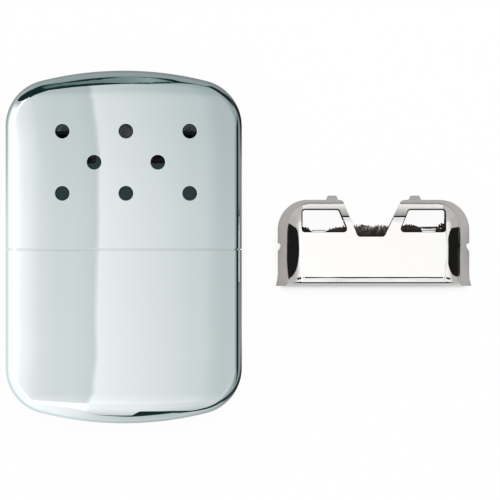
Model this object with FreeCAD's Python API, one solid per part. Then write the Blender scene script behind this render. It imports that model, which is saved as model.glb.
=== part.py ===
import FreeCAD, Part
import math
import os

from FreeCAD import Vector

"""
A pocket catalytic hand warmer, lying on its back, with a spare burner beside it.

The case is a flat drawn-steel tin in two halves. The lower half is the fuel tank: an outer
shell, a collar pressed into its mouth, and cotton that soaks up lighter fuel. The collar
stands out above the shell, carries a flat deck with an oval neck, and is what the upper
case slides down over. A burner pushes onto the neck: two pressed shells, back to back,
that hold a mat of platinised glass fibre on a perforated tray. Fuel vapour rises through
the neck into the mat, burns there without a flame, and the upper case's vents feed it air.

Frame, in millimetres: the origin is on the surface that the case lies on, under the middle
of its back. +X runs across the case, +Y up the case towards its vents, +Z out of its front.
"""

# ---- Case: the closed form shared by the tank shell and the upper case ----
case_width = 66.0
case_length = 98.5
case_thickness = 13.0
case_sheet = 0.45
crown_radius = 200.0        # faces bulge across the width
end_arc_radius = 95.0       # top and bottom ends, seen from the front
corner_radius = 13.0
edge_radius = 3.3           # rounding from a face into the side wall
dome_reach = 8.0            # how far from an end the faces start to bend down
dome_radius = 12.0
seam_y = -0.8               # where the upper case meets the tank shell
seam_gap = 0.25
rim_bevel = 0.12

# ---- Vents: five over three in a quincunx, through front and back ----
vent_diameter = 4.0
vent_pitch_x = 17.75
vent_pitch_y = 8.65
vent_offset_x = 0.8         # the whole pattern sits a little to the right
vent_drop = 25.65           # from the top of the case to the middle row

# ---- Burner: two like shells, flange to flange ----
shell_sheet = 0.3
shell_height = 24.1
burner_side_gap = 6.2       # from the side of the case to the flange
burner_crown_room = 1.95    # between the pan and the case's front, for the crown's fall
flange_side = 2.4           # flange's width beside the pan
flange_top = 0.7            # and above it
flange_foot_spread = 0.6
flange_foot_height = 3.6
flange_corner_radius = 7.0
pan_side_slope = 3.6        # how far the pan's walls lean in
pan_top_slope = 3.7
pan_base_corner = 6.0
pan_face_corner = 3.0
pan_edge_radius = 2.0
lip_crease_y = 2.5
lip_bottom_y = 0.9
lip_flare = 0.3

notch_depth = 10.3
notch_top_width = 16.7
notch_bottom_width = 7.7
notch_corner_radius = 0.9

window_drop = 2.7           # window's upper edge below the shell's top
window_height = 6.2
window_side_margin = 0.8    # from the pan's face edge to the window
window_post_foot = 3.45     # out from the notch's lower corner to the window's inner side
window_post_head = 1.45     # and from its upper corner
window_corner_radius = 0.8

tongue_inset = 4.7          # from the window's outer side to the tongue's middle
tongue_width = 3.8
tongue_rise = 0.5
tongue_reach = 2.6
tongue_fold = 0.9           # outer radius of its fold, as a share of the sheet

ear_x = 11.6
ear_width = 3.4
ear_height = 1.2
ear_slope = 0.5
nick_drop = 13.3            # from the shell's top to the nick
nick_height = 2.2
nick_depth = 0.75

# ---- Tray and mat inside each burner ----
tray_sheet = 0.3
tray_above_neck = 1.0
tray_end_gap = 2.2          # from the pan's face edge to the tray's end
tray_leg_height = 2.2
tray_clearance = 0.03
tray_hole_diameter = 1.9
tray_hole_pitch = 3.2
mat_rise = 1.6              # mat's top above the windows' lower edge
mat_dip_radius = 6.0        # how sharply the tongues press the mat down
mat_corner_radius = 1.2
mat_end_gap = 0.2
soft_clearance = 0.15       # round the felt, the cotton and the catalyst mat

# ---- Collar, deck and neck: one drawn piece in the tank's mouth ----
slide_clearance = 0.12      # collar inside the upper case and inside the tank shell
collar_sheet = 0.4
collar_depth = 9.0          # below the seam, inside the tank shell
deck_height = 9.0           # above the seam
deck_edge_radius = 2.0
neck_height = 7.0
neck_clearance = 0.15       # neck inside the burner's pan, front and back
neck_side_gap = 3.4         # and at its two ends
neck_root_radius = 0.6

# ---- Grille, felt and cotton inside the tank ----
grille_sheet = 0.3
grille_below_rim = 5.0
grille_skirt = 1.8
grille_clearance = 0.04
grille_slots = 8
grille_slot_width = 1.7
grille_slot_margin = 1.1    # solid strip left along each long edge
felt_thickness = 2.6
felt_gap = 0.05             # between the felt and the grille

# ---- Where the two burners go ----
burner_seat_gap = 0.1
spare_gap = 9.5             # from the case's side to the spare burner's foot
spare_foot_y = -10.9

# ---- Sizes that follow ----
middle_z = case_thickness / 2
vent_middle_y = case_length / 2 - vent_drop
deck_y = seam_y + deck_height
neck_rim_y = deck_y + neck_height
collar_inset = case_sheet + slide_clearance
pan_depth = case_thickness / 2 - case_sheet - burner_crown_room
flange_half_width = case_width / 2 - burner_side_gap
pan_base_half_width = flange_half_width - flange_side
pan_base_top = shell_height - flange_top
pan_face_half_width = pan_base_half_width - pan_side_slope
pan_face_top = pan_base_top - pan_top_slope
neck_thickness = 2 * (pan_depth - shell_sheet - neck_clearance)
neck_width = 2 * (pan_base_half_width - neck_side_gap)
window_outer_x = pan_face_half_width - window_side_margin
window_top_y = shell_height - window_drop
window_bottom_y = window_top_y - window_height
window_inner_low_x = notch_bottom_width / 2 + window_post_foot
window_inner_high_x = notch_top_width / 2 + window_post_head
tongue_x = window_outer_x - tongue_inset
tray_y = neck_height + tray_above_neck
tray_half_length = pan_face_half_width - tray_end_gap
mat_half_length = tray_half_length - mat_end_gap
mat_top_y = window_bottom_y + mat_rise
grille_top_y = neck_rim_y - grille_below_rim
felt_top_y = grille_top_y - grille_sheet - felt_gap
spare_x = case_width / 2 + spare_gap + flange_half_width + flange_foot_spread

OVERRUN = 5.0               # how far a cutting tool runs past what it cuts
TOLERANCE = 0.01            # for finding a face or an edge by where it lies
RIM_BAND = 1.0              # an edge of the case's face nearer its outline than this is its rim
BEND_SWEEP = 80.0           # degrees, more than a face bends before the outline cuts it off
ALONG = 0.99                # cosine from which an edge counts as running along an axis


def arc(start, through, end):
    """An edge that is an arc through three points."""
    return Part.Arc(Vector(*start), Vector(*through), Vector(*end)).toShape()


def line(start, end):
    return Part.makeLine(Vector(*start), Vector(*end))


def mirrored_across_x(edges):
    """The same edges on the other side of the X = 0 plane."""
    return [edge.mirror(Vector(0, 0, 0), Vector(1, 0, 0)) for edge in edges]


def plate(edges, height):
    """A closed outline in the XY plane, raised by height."""
    wire = Part.Wire(Part.__sortEdges__(edges))
    return Part.Face(wire).extrude(Vector(0, 0, height))


def slab(low_y, high_y):
    """Everything between two Y positions."""
    reach = case_width + OVERRUN
    return Part.makeBox(2 * reach, high_y - low_y, 2 * reach, Vector(-reach, low_y, -reach))


def polygon(points):
    return Part.Face(Part.makePolygon([Vector(*p) for p in points + points[:1]]))


def rounded_prism(points, radius, low_z, high_z):
    """A straight prism on a polygon whose upright corners are rounded."""
    prism = polygon([(x, y, low_z) for x, y in points]).extrude(Vector(0, 0, high_z - low_z))
    upright = [e for e in prism.Edges if abs(e.tangentAt(e.FirstParameter).z) > ALONG]
    return prism.makeFillet(radius, upright)


# ---------------------------------------------------------------- case

def case_outline(inset):
    """The case from the front: straight sides, four corner arcs and a long arc at each end."""
    half_width = case_width / 2 - inset
    half_length = case_length / 2 - inset
    end = end_arc_radius - inset
    corner = corner_radius - inset
    corner_x = half_width - corner
    end_y = half_length - end
    corner_y = end_y + math.sqrt((end - corner) ** 2 - corner_x ** 2)
    outward = end / (end - corner)
    touch = (corner_x * outward, end_y + (corner_y - end_y) * outward, 0)
    half_turn = math.atan2(corner_y - end_y, corner_x) / 2
    middle = (corner_x + corner * math.cos(half_turn), corner_y + corner * math.sin(half_turn), 0)

    side = line((half_width, -corner_y, 0), (half_width, corner_y, 0))
    upper_corner = arc((half_width, corner_y, 0), middle, touch)
    upper_end = arc(touch, (0, half_length, 0), (-touch[0], touch[1], 0))
    lower = [e.mirror(Vector(0, 0, 0), Vector(0, 1, 0)) for e in (upper_corner, upper_end)]
    right = [side, upper_corner, lower[0]]
    return right + mirrored_across_x(right) + [upper_end, lower[1]]


def crown_skin(inset):
    """The front face as a thick slice: crowned across X, bent down at both ends."""
    reach = case_width / 2 + OVERRUN
    peak = case_thickness / 2 - inset
    crown = crown_radius - inset
    shoulder = peak - (crown - math.sqrt(crown ** 2 - reach ** 2))
    axis_z = case_thickness / 2 - dome_radius
    bend_y = case_length / 2 - dome_reach
    section = [
        line((-reach, 0, axis_z), (reach, 0, axis_z)),
        line((reach, 0, axis_z), (reach, 0, shoulder)),
        arc((reach, 0, shoulder), (0, 0, peak), (-reach, 0, shoulder)),
        line((-reach, 0, shoulder), (-reach, 0, axis_z)),
    ]
    profile = Part.Face(Part.Wire(section))
    profile.translate(Vector(0, -bend_y, 0))
    skin = profile.extrude(Vector(0, 2 * bend_y, 0))
    for side in (-1, 1):
        end = profile.copy()
        end.translate(Vector(0, bend_y + side * bend_y, 0))
        pivot = Vector(0, side * bend_y, axis_z)
        skin = skin.fuse(end.revolve(pivot, Vector(-side, 0, 0), BEND_SWEEP))
    return skin


def case_body(inset):
    """The closed form of the case, drawn in by inset all over, lying on its back."""
    outline = case_outline(inset)
    front = crown_skin(inset).common(plate(outline, case_thickness)).removeSplitter()
    inside = plate(case_outline(inset + RIM_BAND), OVERRUN)
    rim = []
    for edge in front.Edges:
        middle = edge.valueAt((edge.FirstParameter + edge.LastParameter) / 2)
        on_top = min(v.Z for v in edge.Vertexes) > TOLERANCE
        if on_top and not inside.isInside(Vector(middle.x, middle.y, OVERRUN / 2), TOLERANCE, True):
            rim.append(edge)
    front = front.makeFillet(edge_radius - inset, rim)
    back = front.mirror(Vector(0, 0, 0), Vector(0, 0, 1))
    body = front.fuse(back).removeSplitter()
    body.translate(Vector(0, 0, case_thickness / 2))
    return body


def vents():
    """The vent punches, right through the case."""
    punches = []
    for row in (-1, 0, 1):
        columns = (-0.5, 0.5) if row == 0 else (-1, 0, 1)
        for column in columns:
            x = vent_offset_x + column * vent_pitch_x
            centre = Vector(x, vent_middle_y + row * vent_pitch_y, -OVERRUN)
            punches.append(Part.makeCylinder(vent_diameter / 2, case_thickness + 2 * OVERRUN, centre))
    return punches


def case_shell(low_y, high_y):
    """The case's sheet between two Y positions."""
    return case_body(0).cut(case_body(case_sheet)).common(slab(low_y, high_y))


def soften_rim(shell, rim_y):
    """Bevels the outer edge of a shell's open rim, so that the seam shows as a fine line."""
    rim = [
        f for f in shell.Faces
        if f.BoundBox.YLength < TOLERANCE and abs(f.BoundBox.YMin - rim_y) < TOLERANCE
    ]
    return shell.makeChamfer(rim_bevel, rim[0].OuterWire.Edges)


def upper_case():
    shell = soften_rim(case_shell(seam_y + seam_gap, case_length), seam_y + seam_gap)
    return shell.cut(Part.makeCompound(vents()))


def tank_shell():
    return soften_rim(case_shell(-case_length, seam_y), seam_y)


# ---------------------------------------------------------------- collar, deck and neck

def stadium(inset, low_y, high_y):
    """An upright post of oval section, in line with the neck and drawn in by inset."""
    half_width = neck_width / 2 - inset
    radius = neck_thickness / 2 - inset
    flat = half_width - radius
    edges = [
        line((-flat, radius, 0), (flat, radius, 0)),
        arc((flat, radius, 0), (half_width, 0, 0), (flat, -radius, 0)),
        line((flat, -radius, 0), (-flat, -radius, 0)),
        arc((-flat, -radius, 0), (-half_width, 0, 0), (-flat, radius, 0)),
    ]
    post = plate(edges, high_y - low_y)
    post.rotate(Vector(0, 0, 0), Vector(1, 0, 0), -90)
    post.translate(Vector(0, low_y, middle_z))
    return post


def edges_at_y(shape, y):
    """The edges that lie wholly at one Y position."""
    return [
        e for e in shape.Edges
        if abs(e.BoundBox.YMin - y) < TOLERANCE and abs(e.BoundBox.YMax - y) < TOLERANCE
    ]


def collar_form(inset, low_y, top_y, radius):
    """The case's section at one inset, from low_y to top_y, with a rounded upper edge."""
    form = case_body(inset).common(slab(low_y, top_y))
    return form.makeFillet(radius, edges_at_y(form, top_y))


def tank_collar():
    low_y = seam_y - collar_depth
    neck = stadium(0, deck_y - collar_sheet, neck_rim_y)
    outer = collar_form(collar_inset, low_y, deck_y, deck_edge_radius).fuse(neck).removeSplitter()
    around_neck = neck.BoundBox
    around_neck.enlarge(TOLERANCE)
    root = [e for e in edges_at_y(outer, deck_y) if around_neck.isInside(e.BoundBox)]
    outer = outer.makeFillet(neck_root_radius, root)
    inner = collar_form(
        collar_inset + collar_sheet, low_y - OVERRUN, deck_y - collar_sheet,
        deck_edge_radius - collar_sheet,
    )
    opening = stadium(collar_sheet, deck_y - OVERRUN, neck_rim_y + OVERRUN)
    return outer.cut(inner).cut(opening)


def wadding_grille():
    """A slotted strip with a skirt, pushed down the neck to keep the felt in."""
    edge = collar_sheet + grille_clearance
    plate_bottom_y = grille_top_y - grille_sheet
    skirt_y = plate_bottom_y - grille_skirt
    strip = stadium(edge, skirt_y, grille_top_y)
    strip = strip.cut(stadium(edge + grille_sheet, skirt_y - OVERRUN, plate_bottom_y))
    pitch = (neck_width - neck_thickness) / grille_slots
    half_width = grille_slot_width / 2
    half_length = neck_thickness / 2 - edge - grille_slot_margin
    for index in range(grille_slots):
        x = (index - (grille_slots - 1) / 2) * pitch
        strip = strip.cut(slot_punch(x, half_width, half_length))
    return strip


def slot_punch(x, half_width, half_length):
    """One slot of the grille: a straight slot with round ends, along Z."""
    straight = half_length - half_width
    box = Part.makeBox(2 * half_width, OVERRUN, 2 * straight,
                       Vector(x - half_width, grille_top_y - OVERRUN / 2, middle_z - straight))
    ends = [
        Part.makeCylinder(half_width, OVERRUN, Vector(x, grille_top_y - OVERRUN / 2, middle_z + z),
                          Vector(0, 1, 0))
        for z in (-straight, straight)
    ]
    return box.fuse(ends)


def wick_felt():
    edge = collar_sheet + grille_clearance + grille_sheet + soft_clearance
    return stadium(edge, felt_top_y - felt_thickness, felt_top_y)


def cotton_wadding():
    """Cotton that fills the tank under the deck and the felt, rounded like the deck's edge."""
    top_y = min(deck_y - collar_sheet, felt_top_y - felt_thickness) - soft_clearance
    inset = collar_inset + collar_sheet + soft_clearance
    return collar_form(inset, -case_length, top_y, deck_edge_radius - collar_sheet)


# ---------------------------------------------------------------- burner

def arch(half_width, top, corner):
    """An upturned U in the XY plane that runs down past the foot."""
    low = -OVERRUN
    bend = corner * (1 - math.sqrt(0.5))
    right = [
        line((half_width, low, 0), (half_width, top - corner, 0)),
        arc((half_width, top - corner, 0), (half_width - bend, top - bend, 0), (half_width - corner, top, 0)),
    ]
    span = line((half_width - corner, top, 0), (corner - half_width, top, 0))
    base = line((-half_width, low, 0), (half_width, low, 0))
    return Part.Wire(Part.__sortEdges__(right + [span, base] + mirrored_across_x(right)))


def pan_form(inset):
    """The raised part of a shell as a solid, drawn in by inset from the outside."""
    lean = math.hypot(pan_base_half_width - pan_face_half_width, pan_depth) / pan_depth
    shrink = inset * lean
    base = arch(pan_base_half_width - shrink, pan_base_top - shrink, pan_base_corner - shrink / 2)
    face_shrink = inset * (lean - (pan_base_half_width - pan_face_half_width) / pan_depth)
    face = arch(
        pan_face_half_width - face_shrink,
        pan_face_top - face_shrink,
        pan_face_corner - face_shrink / 2,
    )
    face.translate(Vector(0, 0, pan_depth - inset))
    form = Part.makeLoft([base, face], True, True)
    top = pan_depth - inset
    crest = [
        e for e in form.Edges
        if min(v.Z for v in e.Vertexes) > top - TOLERANCE and e.BoundBox.YMax > TOLERANCE - OVERRUN
    ]
    return form.makeFillet(pan_edge_radius - inset, crest)


def pan():
    """The pressed pan with its flared lower lip."""
    wall = pan_form(0).cut(pan_form(shell_sheet))
    body = wall.common(slab(lip_crease_y, shell_height))
    crease = [f for f in body.Faces if abs(f.BoundBox.YMax - lip_crease_y) < TOLERANCE]
    upper = crease[0].OuterWire
    lower = upper.copy()
    spread = FreeCAD.Matrix()
    spread.scale(
        1 + lip_flare / pan_base_half_width, 1, 1 + lip_flare / pan_depth,
    )
    lower.translate(Vector(0, -lip_crease_y, 0))
    lower = lower.transformGeometry(spread)
    lower.translate(Vector(0, lip_bottom_y, 0))
    lip = Part.makeLoft([upper, lower], True, True)
    return body.fuse(lip)


def flange():
    """The flat rim that joins the two shells: feet, nicks in its sides and ears on top."""
    top = shell_height
    bend = flange_corner_radius * (1 - math.sqrt(0.5))
    side_x = flange_half_width
    foot_x = side_x + flange_foot_spread
    flare = (side_x + flange_foot_spread / 4, flange_foot_height / 2, 0)
    corner_y = top - flange_corner_radius
    corner_x = side_x - flange_corner_radius
    low_ear, high_ear = ear_x - ear_width / 2, ear_x + ear_width / 2
    right = [
        line((0, 0, 0), (foot_x, 0, 0)),
        arc((foot_x, 0, 0), flare, (side_x, flange_foot_height, 0)),
        line((side_x, flange_foot_height, 0), (side_x, corner_y, 0)),
        arc((side_x, corner_y, 0), (side_x - bend, top - bend, 0), (corner_x, top, 0)),
        line((corner_x, top, 0), (high_ear, top, 0)),
        line((high_ear, top, 0), (high_ear - ear_slope, top + ear_height, 0)),
        line((high_ear - ear_slope, top + ear_height, 0), (low_ear + ear_slope, top + ear_height, 0)),
        line((low_ear + ear_slope, top + ear_height, 0), (low_ear, top, 0)),
        line((low_ear, top, 0), (0, top, 0)),
    ]
    rim = plate(right + mirrored_across_x(right), shell_sheet)
    for side in (-1, 1):
        rim = rim.cut(flange_nick(side))
    return rim.cut(pan_form(shell_sheet))


def flange_nick(side):
    """A small bite out of the flange's edge: square above, sloped below."""
    middle_y = shell_height - nick_drop
    edge_x = side * flange_half_width
    bottom_x = edge_x - side * nick_depth
    clear_x = edge_x + side * OVERRUN
    bite = [
        (bottom_x, middle_y + nick_height / 2),
        (clear_x, middle_y + nick_height / 2),
        (clear_x, middle_y - nick_height / 2),
        (edge_x, middle_y - nick_height / 2),
        (bottom_x, middle_y),
    ]
    return polygon([(x, y, -OVERRUN) for x, y in bite]).extrude(Vector(0, 0, 2 * OVERRUN))


def notch():
    """The gap in the middle of the upper edge, through both shells."""
    low_x, top_x = notch_bottom_width / 2, notch_top_width / 2
    high_x = top_x + (top_x - low_x) * OVERRUN / notch_depth
    bottom_y, high_y = shell_height - notch_depth, shell_height + OVERRUN
    outline = [(-low_x, bottom_y), (low_x, bottom_y), (high_x, high_y), (-high_x, high_y)]
    return rounded_prism(outline, notch_corner_radius, -OVERRUN, pan_depth + OVERRUN)


def window(side):
    """The opening beside the notch: its outer side is upright, its inner side leans."""
    outline = [
        (side * window_outer_x, window_bottom_y),
        (side * window_inner_low_x, window_bottom_y),
        (side * window_inner_high_x, window_top_y),
        (side * window_outer_x, window_top_y),
    ]
    return rounded_prism(outline, window_corner_radius, shell_sheet, pan_depth + OVERRUN)


def tongue(side):
    """A strip left on the window's lower edge and folded in over the mat."""
    left = side * tongue_x - tongue_width / 2
    face_z = pan_depth - shell_sheet
    rise = Part.makeBox(tongue_width, tongue_rise + shell_sheet, shell_sheet,
                        Vector(left, window_bottom_y - shell_sheet, face_z))
    shelf = Part.makeBox(tongue_width, shell_sheet, tongue_reach,
                         Vector(left, window_bottom_y + tongue_rise - shell_sheet, pan_depth - tongue_reach))
    folded = rise.fuse(shelf).removeSplitter()
    bend = [
        e for e in folded.Edges
        if abs(e.CenterOfMass.z - pan_depth) < TOLERANCE
        and abs(e.CenterOfMass.y - window_bottom_y - tongue_rise) < TOLERANCE
    ]
    return folded.makeFillet(tongue_fold * shell_sheet, bend)


def burner_shell():
    """One half of the burner: the back half is the same pressing turned round."""
    shell = pan().fuse(flange())
    shell = shell.cut(notch())
    for side in (-1, 1):
        shell = shell.cut(window(side)).fuse(tongue(side))
    return shell


def mat_tray():
    """A perforated channel across the burner that the mat lies in."""
    half_depth = pan_depth - shell_sheet - tray_clearance
    floor = Part.makeBox(2 * tray_half_length, tray_sheet, 2 * half_depth,
                         Vector(-tray_half_length, tray_y, -half_depth))
    legs = [
        Part.makeBox(2 * tray_half_length, tray_leg_height + tray_sheet, tray_sheet,
                     Vector(-tray_half_length, tray_y, z))
        for z in (-half_depth, half_depth - tray_sheet)
    ]
    tray = floor.fuse(legs[0]).fuse(legs[1]).removeSplitter()
    holes_across = int(2 * tray_half_length / tray_hole_pitch)
    for row in (-0.5, 0.5):
        for index in range(holes_across):
            x = (index - (holes_across - 1) / 2) * tray_hole_pitch
            start = Vector(x, tray_y - OVERRUN / 2, row * tray_hole_pitch)
            tray = tray.cut(Part.makeCylinder(tray_hole_diameter / 2, OVERRUN, start, Vector(0, 1, 0)))
    return tray


def catalyst_mat():
    """The glass-fibre pad, which dips where the tongues hold it down."""
    half_depth = pan_depth - shell_sheet - tray_clearance - tray_sheet - soft_clearance
    bottom_y = tray_y + tray_sheet + soft_clearance
    pad = Part.makeBox(2 * mat_half_length, mat_top_y - bottom_y, 2 * half_depth,
                       Vector(-mat_half_length, bottom_y, -half_depth))
    upright = [e for e in pad.Edges if abs(e.tangentAt(e.FirstParameter).y) > ALONG]
    pad = pad.makeFillet(mat_corner_radius, upright)
    rise_at_tongue = mat_dip_radius - math.sqrt(mat_dip_radius ** 2 - (tongue_width / 2) ** 2)
    held_y = window_bottom_y + tongue_rise - shell_sheet - soft_clearance - rise_at_tongue
    for side in (-1, 1):
        dip = Part.makeCylinder(mat_dip_radius, 2 * (half_depth + OVERRUN),
                                Vector(side * tongue_x, held_y + mat_dip_radius, -half_depth - OVERRUN))
        pad = pad.cut(dip)
    return pad


def burner_parts():
    """The four pieces of a burner, standing on its foot, joint plane at Z = 0."""
    front = burner_shell()
    back = front.copy()
    back.rotate(Vector(0, 0, 0), Vector(0, 1, 0), 180)
    return {
        "front_shell": front,
        "back_shell": back,
        "mat_tray": mat_tray(),
        "catalyst_mat": catalyst_mat(),
    }


def placed(shape, x, y, z):
    moved = shape.copy()
    moved.translate(Vector(x, y, z))
    return moved


def main():
    os.makedirs("parts", exist_ok=True)
    nodes = {
        "upper_case": upper_case(),
        "tank_shell": tank_shell(),
        "tank_collar": tank_collar(),
        "wadding_grille": wadding_grille(),
        "wick_felt": wick_felt(),
        "cotton_wadding": cotton_wadding(),
    }
    spare_z = pan_depth + lip_flare
    for name, shape in burner_parts().items():
        nodes["burner_" + name] = placed(shape, 0, deck_y + burner_seat_gap, middle_z)
        nodes["spare_burner_" + name] = placed(shape, spare_x, spare_foot_y, spare_z)
    for name, shape in nodes.items():
        shape.exportStep(os.path.join("parts", name + ".step"))
        print(name, "solids", len(shape.Solids), "valid", shape.isValid(), "volume", round(shape.Volume, 2))


main()
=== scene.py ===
import math
import random

import bmesh
import bpy
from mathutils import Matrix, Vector
from mathutils.geometry import delaunay_2d_cdt
from mathutils.noise import noise


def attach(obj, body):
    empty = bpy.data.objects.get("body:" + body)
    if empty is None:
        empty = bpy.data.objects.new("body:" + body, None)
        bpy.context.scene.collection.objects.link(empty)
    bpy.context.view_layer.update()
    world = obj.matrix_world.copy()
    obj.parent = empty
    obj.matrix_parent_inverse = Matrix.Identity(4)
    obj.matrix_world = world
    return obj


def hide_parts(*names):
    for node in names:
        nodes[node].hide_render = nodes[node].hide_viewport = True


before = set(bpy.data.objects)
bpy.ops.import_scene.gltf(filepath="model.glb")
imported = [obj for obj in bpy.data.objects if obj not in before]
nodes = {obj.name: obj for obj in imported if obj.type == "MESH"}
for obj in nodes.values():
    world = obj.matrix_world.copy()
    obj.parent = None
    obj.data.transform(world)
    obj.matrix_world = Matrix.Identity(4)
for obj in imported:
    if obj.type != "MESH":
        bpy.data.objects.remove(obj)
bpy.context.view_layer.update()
MM = 0.001


# ---- Camera ----
# The set lies on its back and the camera looks straight down at it through a very long lens,
# so that faces keep their shape and walls don't lean.
VIEW_WIDTH = 139.85 * MM
VIEW_CENTRE = (35.3 * MM, -0.84 * MM)
CAMERA_HEIGHT = 1.2
MIDDLE_Z = 6.5 * MM


def add_object(name, data):
    """A new object in the scene."""
    piece = bpy.data.objects.new(name, data)
    bpy.context.scene.collection.objects.link(piece)
    return piece


camera_data = bpy.data.cameras.new("camera")
camera_data.sensor_width = 36.0
camera_data.lens = camera_data.sensor_width * (CAMERA_HEIGHT - MIDDLE_Z) / VIEW_WIDTH
camera_data.clip_end = 20.0
camera = add_object("camera", camera_data)
camera.location = (*VIEW_CENTRE, CAMERA_HEIGHT)
bpy.context.scene.camera = camera
bpy.context.scene.view_settings.view_transform = "Standard"


# ---- Studio ----
# A white room with a broad soft ceiling that bright metal mirrors. The ceiling is lightest on
# the left and has one straight edge near its middle, and the walls are lightest on the left too.
def hex_colour(code):
    """An sRGB hex value as linear RGBA."""
    levels = [int(code[i:i + 2], 16) / 255 for i in (1, 3, 5)]
    return [v / 12.92 if v <= 0.04045 else ((v + 0.055) / 1.055) ** 2.4 for v in levels] + [1.0]


def add_node(tree, kind, inputs=(), stops=(), **settings):
    """One shader node: settings are its properties, inputs its sockets' values or links.

    Inputs go by name or number, or else in order, and stops are a ramp's positions and colours.
    It gives the node's outputs, which as an input stand for the first of them."""
    node = tree.nodes.new("ShaderNode" + kind)
    for name, value in settings.items():
        setattr(node, name, value)
    for index, (position, colour) in enumerate(stops):
        elements = node.color_ramp.elements
        element = elements[index] if index < 2 else elements.new(position)
        element.position, element.color = position, colour
    for socket, value in inputs.items() if isinstance(inputs, dict) else enumerate(inputs):
        value = value[0] if isinstance(value, bpy.types.bpy_prop_collection) else value
        if isinstance(value, bpy.types.NodeSocket):
            tree.links.new(value, node.inputs[socket])
        else:
            node.inputs[socket].default_value = value
    return node.outputs


def graph(tree, value, stops):
    """A curve through stops of (value, result), as a colour ramp between two range changes."""
    low, high = stops[0][0], stops[-1][0]
    least = min(result for _, result in stops)
    span = (max(result for _, result in stops) - least) or 1.0
    along = add_node(tree, "MapRange", [value, low, high])
    curve = add_node(tree, "ValToRGB", [along], [
        ((at - low) / (high - low), [(result - least) / span] * 3 + [1.0]) for at, result in stops
    ])
    return add_node(tree, "Math", [curve, span, least], operation="MULTIPLY_ADD")


def degrees_round(tree, at):
    """Degrees round from the right, from 0 to 360, of a place or a direction."""
    turn = add_node(tree, "Math", [at["Y"], at["X"]], operation="ARCTAN2")
    turn = add_node(tree, "Math", [turn], operation="DEGREES")
    return add_node(tree, "Math", [turn, 360.0, 0.0], operation="WRAP")


CEILING = [             # degrees to the right of straight up, and how bright
    (-60, 1.95), (-21, 1.9), (-19.7, 1.42), (-18.8, 1.28), (-17.9, 1.22), (-16.2, 1.05), (-14.4, 0.99),
    (-12.7, 0.96), (-10, 0.95), (-7.5, 0.91), (-6.3, 0.87), (-5.7, 1.21), (-3.6, 1.16), (-0.5, 1.11),
    (2.1, 1.07), (7.3, 0.99), (9.9, 0.94), (12.6, 0.91), (14.8, 0.80), (16.2, 0.78), (60, 0.80),
]
TOWARDS_TOP = [         # degrees towards the top from straight up, and the ceiling's share of light
    (-60, 1.30), (-25, 1.22), (-20, 1.16), (-5, 1.08), (-1.1, 1.04), (0.5, 1.0), (1.4, 0.94), (2, 0.91),
    (12, 0.89), (20, 0.82), (26, 0.76), (38, 0.77), (45, 0.73), (60, 0.7),
]
WANDER = [              # degrees towards the top, and how far the ceiling's edges lie to the left there
    (-60, 2.7), (-10, 1.4), (-2.1, 1.1), (-1.9, 0.95), (-1.75, 0.7), (-1.6, 0.5), (-1.45, 0.2),
    (-1.3, 0.35), (-1.1, 0.5), (-0.8, 0.35), (-0.1, 0.17), (0.2, 0.0), (1.0, 0.0), (1.35, -0.17),
    (1.5, -0.17), (1.65, 0.15), (1.8, 0.5), (2.0, 1.1), (3.0, 1.2), (30, 1.35), (60, 2.7),
]
PANEL = [               # as the ceiling, for a brighter panel that hangs low towards the foot
    (-60, 1.95), (-6.8, 1.75), (-5.6, 1.36), (-3, 1.26), (4.4, 1.18), (10, 1.06), (14, 0.97), (60, 0.9),
]
PANEL_COVERS = [(-60, 1.0), (-27.5, 1.0), (-25.5, 0.0), (0, 0.0)]       # degrees towards the top
CEILING_ENDS = (38.0, 66.0)     # degrees from straight up, where it passes into the walls
ROOM_WALL = [           # degrees round the room from the right, and how bright its walls are
    (0, 0.45), (27, 0.5), (70, 0.55), (105, 0.6), (125, 0.62), (137, 0.66), (149, 0.75), (165, 0.9),
    (248, 0.9), (256, 0.88), (263, 0.86), (268, 0.84), (276, 0.8), (304, 0.7), (320, 0.6), (345, 0.5),
    (360, 0.45),
]
RED_POWER = 1.25
PEAK = 1.1
ROOM_LIGHT = 0.8        # what the room gives to surfaces that don't mirror it
WHITE = (1, 1, 1, 1)

world = bpy.data.worlds.new("studio")
bpy.context.scene.world = world
world.use_nodes = True
sky = world.node_tree
sky.nodes.clear()
direction = add_node(sky, "TexCoord")["Generated"]
split = add_node(sky, "SeparateXYZ", [direction])
sideways, upwards, from_zenith = (
    add_node(sky, "Math", [add_node(sky, "Math", sides, operation=kind)], operation="DEGREES")
    for kind, sides in (
        ("ARCSINE", [split["X"]]), ("ARCTAN2", [split["Y"], split["Z"]]), ("ARCCOSINE", [split["Z"]]),
    )
)
skewed = add_node(sky, "Math", [sideways, graph(sky, upwards, WANDER)], operation="ADD")
light = add_node(sky, "Math", [graph(sky, skewed, CEILING), graph(sky, upwards, TOWARDS_TOP)],
                 operation="MULTIPLY")
light = add_node(sky, "Mix", {0: graph(sky, upwards, PANEL_COVERS), 2: light, 3: graph(sky, skewed, PANEL)})
wall_share = add_node(sky, "MapRange", [from_zenith, *CEILING_ENDS], interpolation_type="SMOOTHSTEP")
wall = graph(sky, degrees_round(sky, split), ROOM_WALL)
light = add_node(sky, "Mix", {0: wall_share, 2: light, 3: wall})


def slightly_cyan(tree, light):
    """The room's light as a colour: its shadows have a little less red."""
    red = light
    for operation, other in (("DIVIDE", PEAK), ("POWER", RED_POWER), ("MULTIPLY", PEAK), ("MINIMUM", light)):
        red = add_node(tree, "Math", [red, other], operation=operation)
    return add_node(tree, "CombineColor", [red, light, light])


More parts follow.
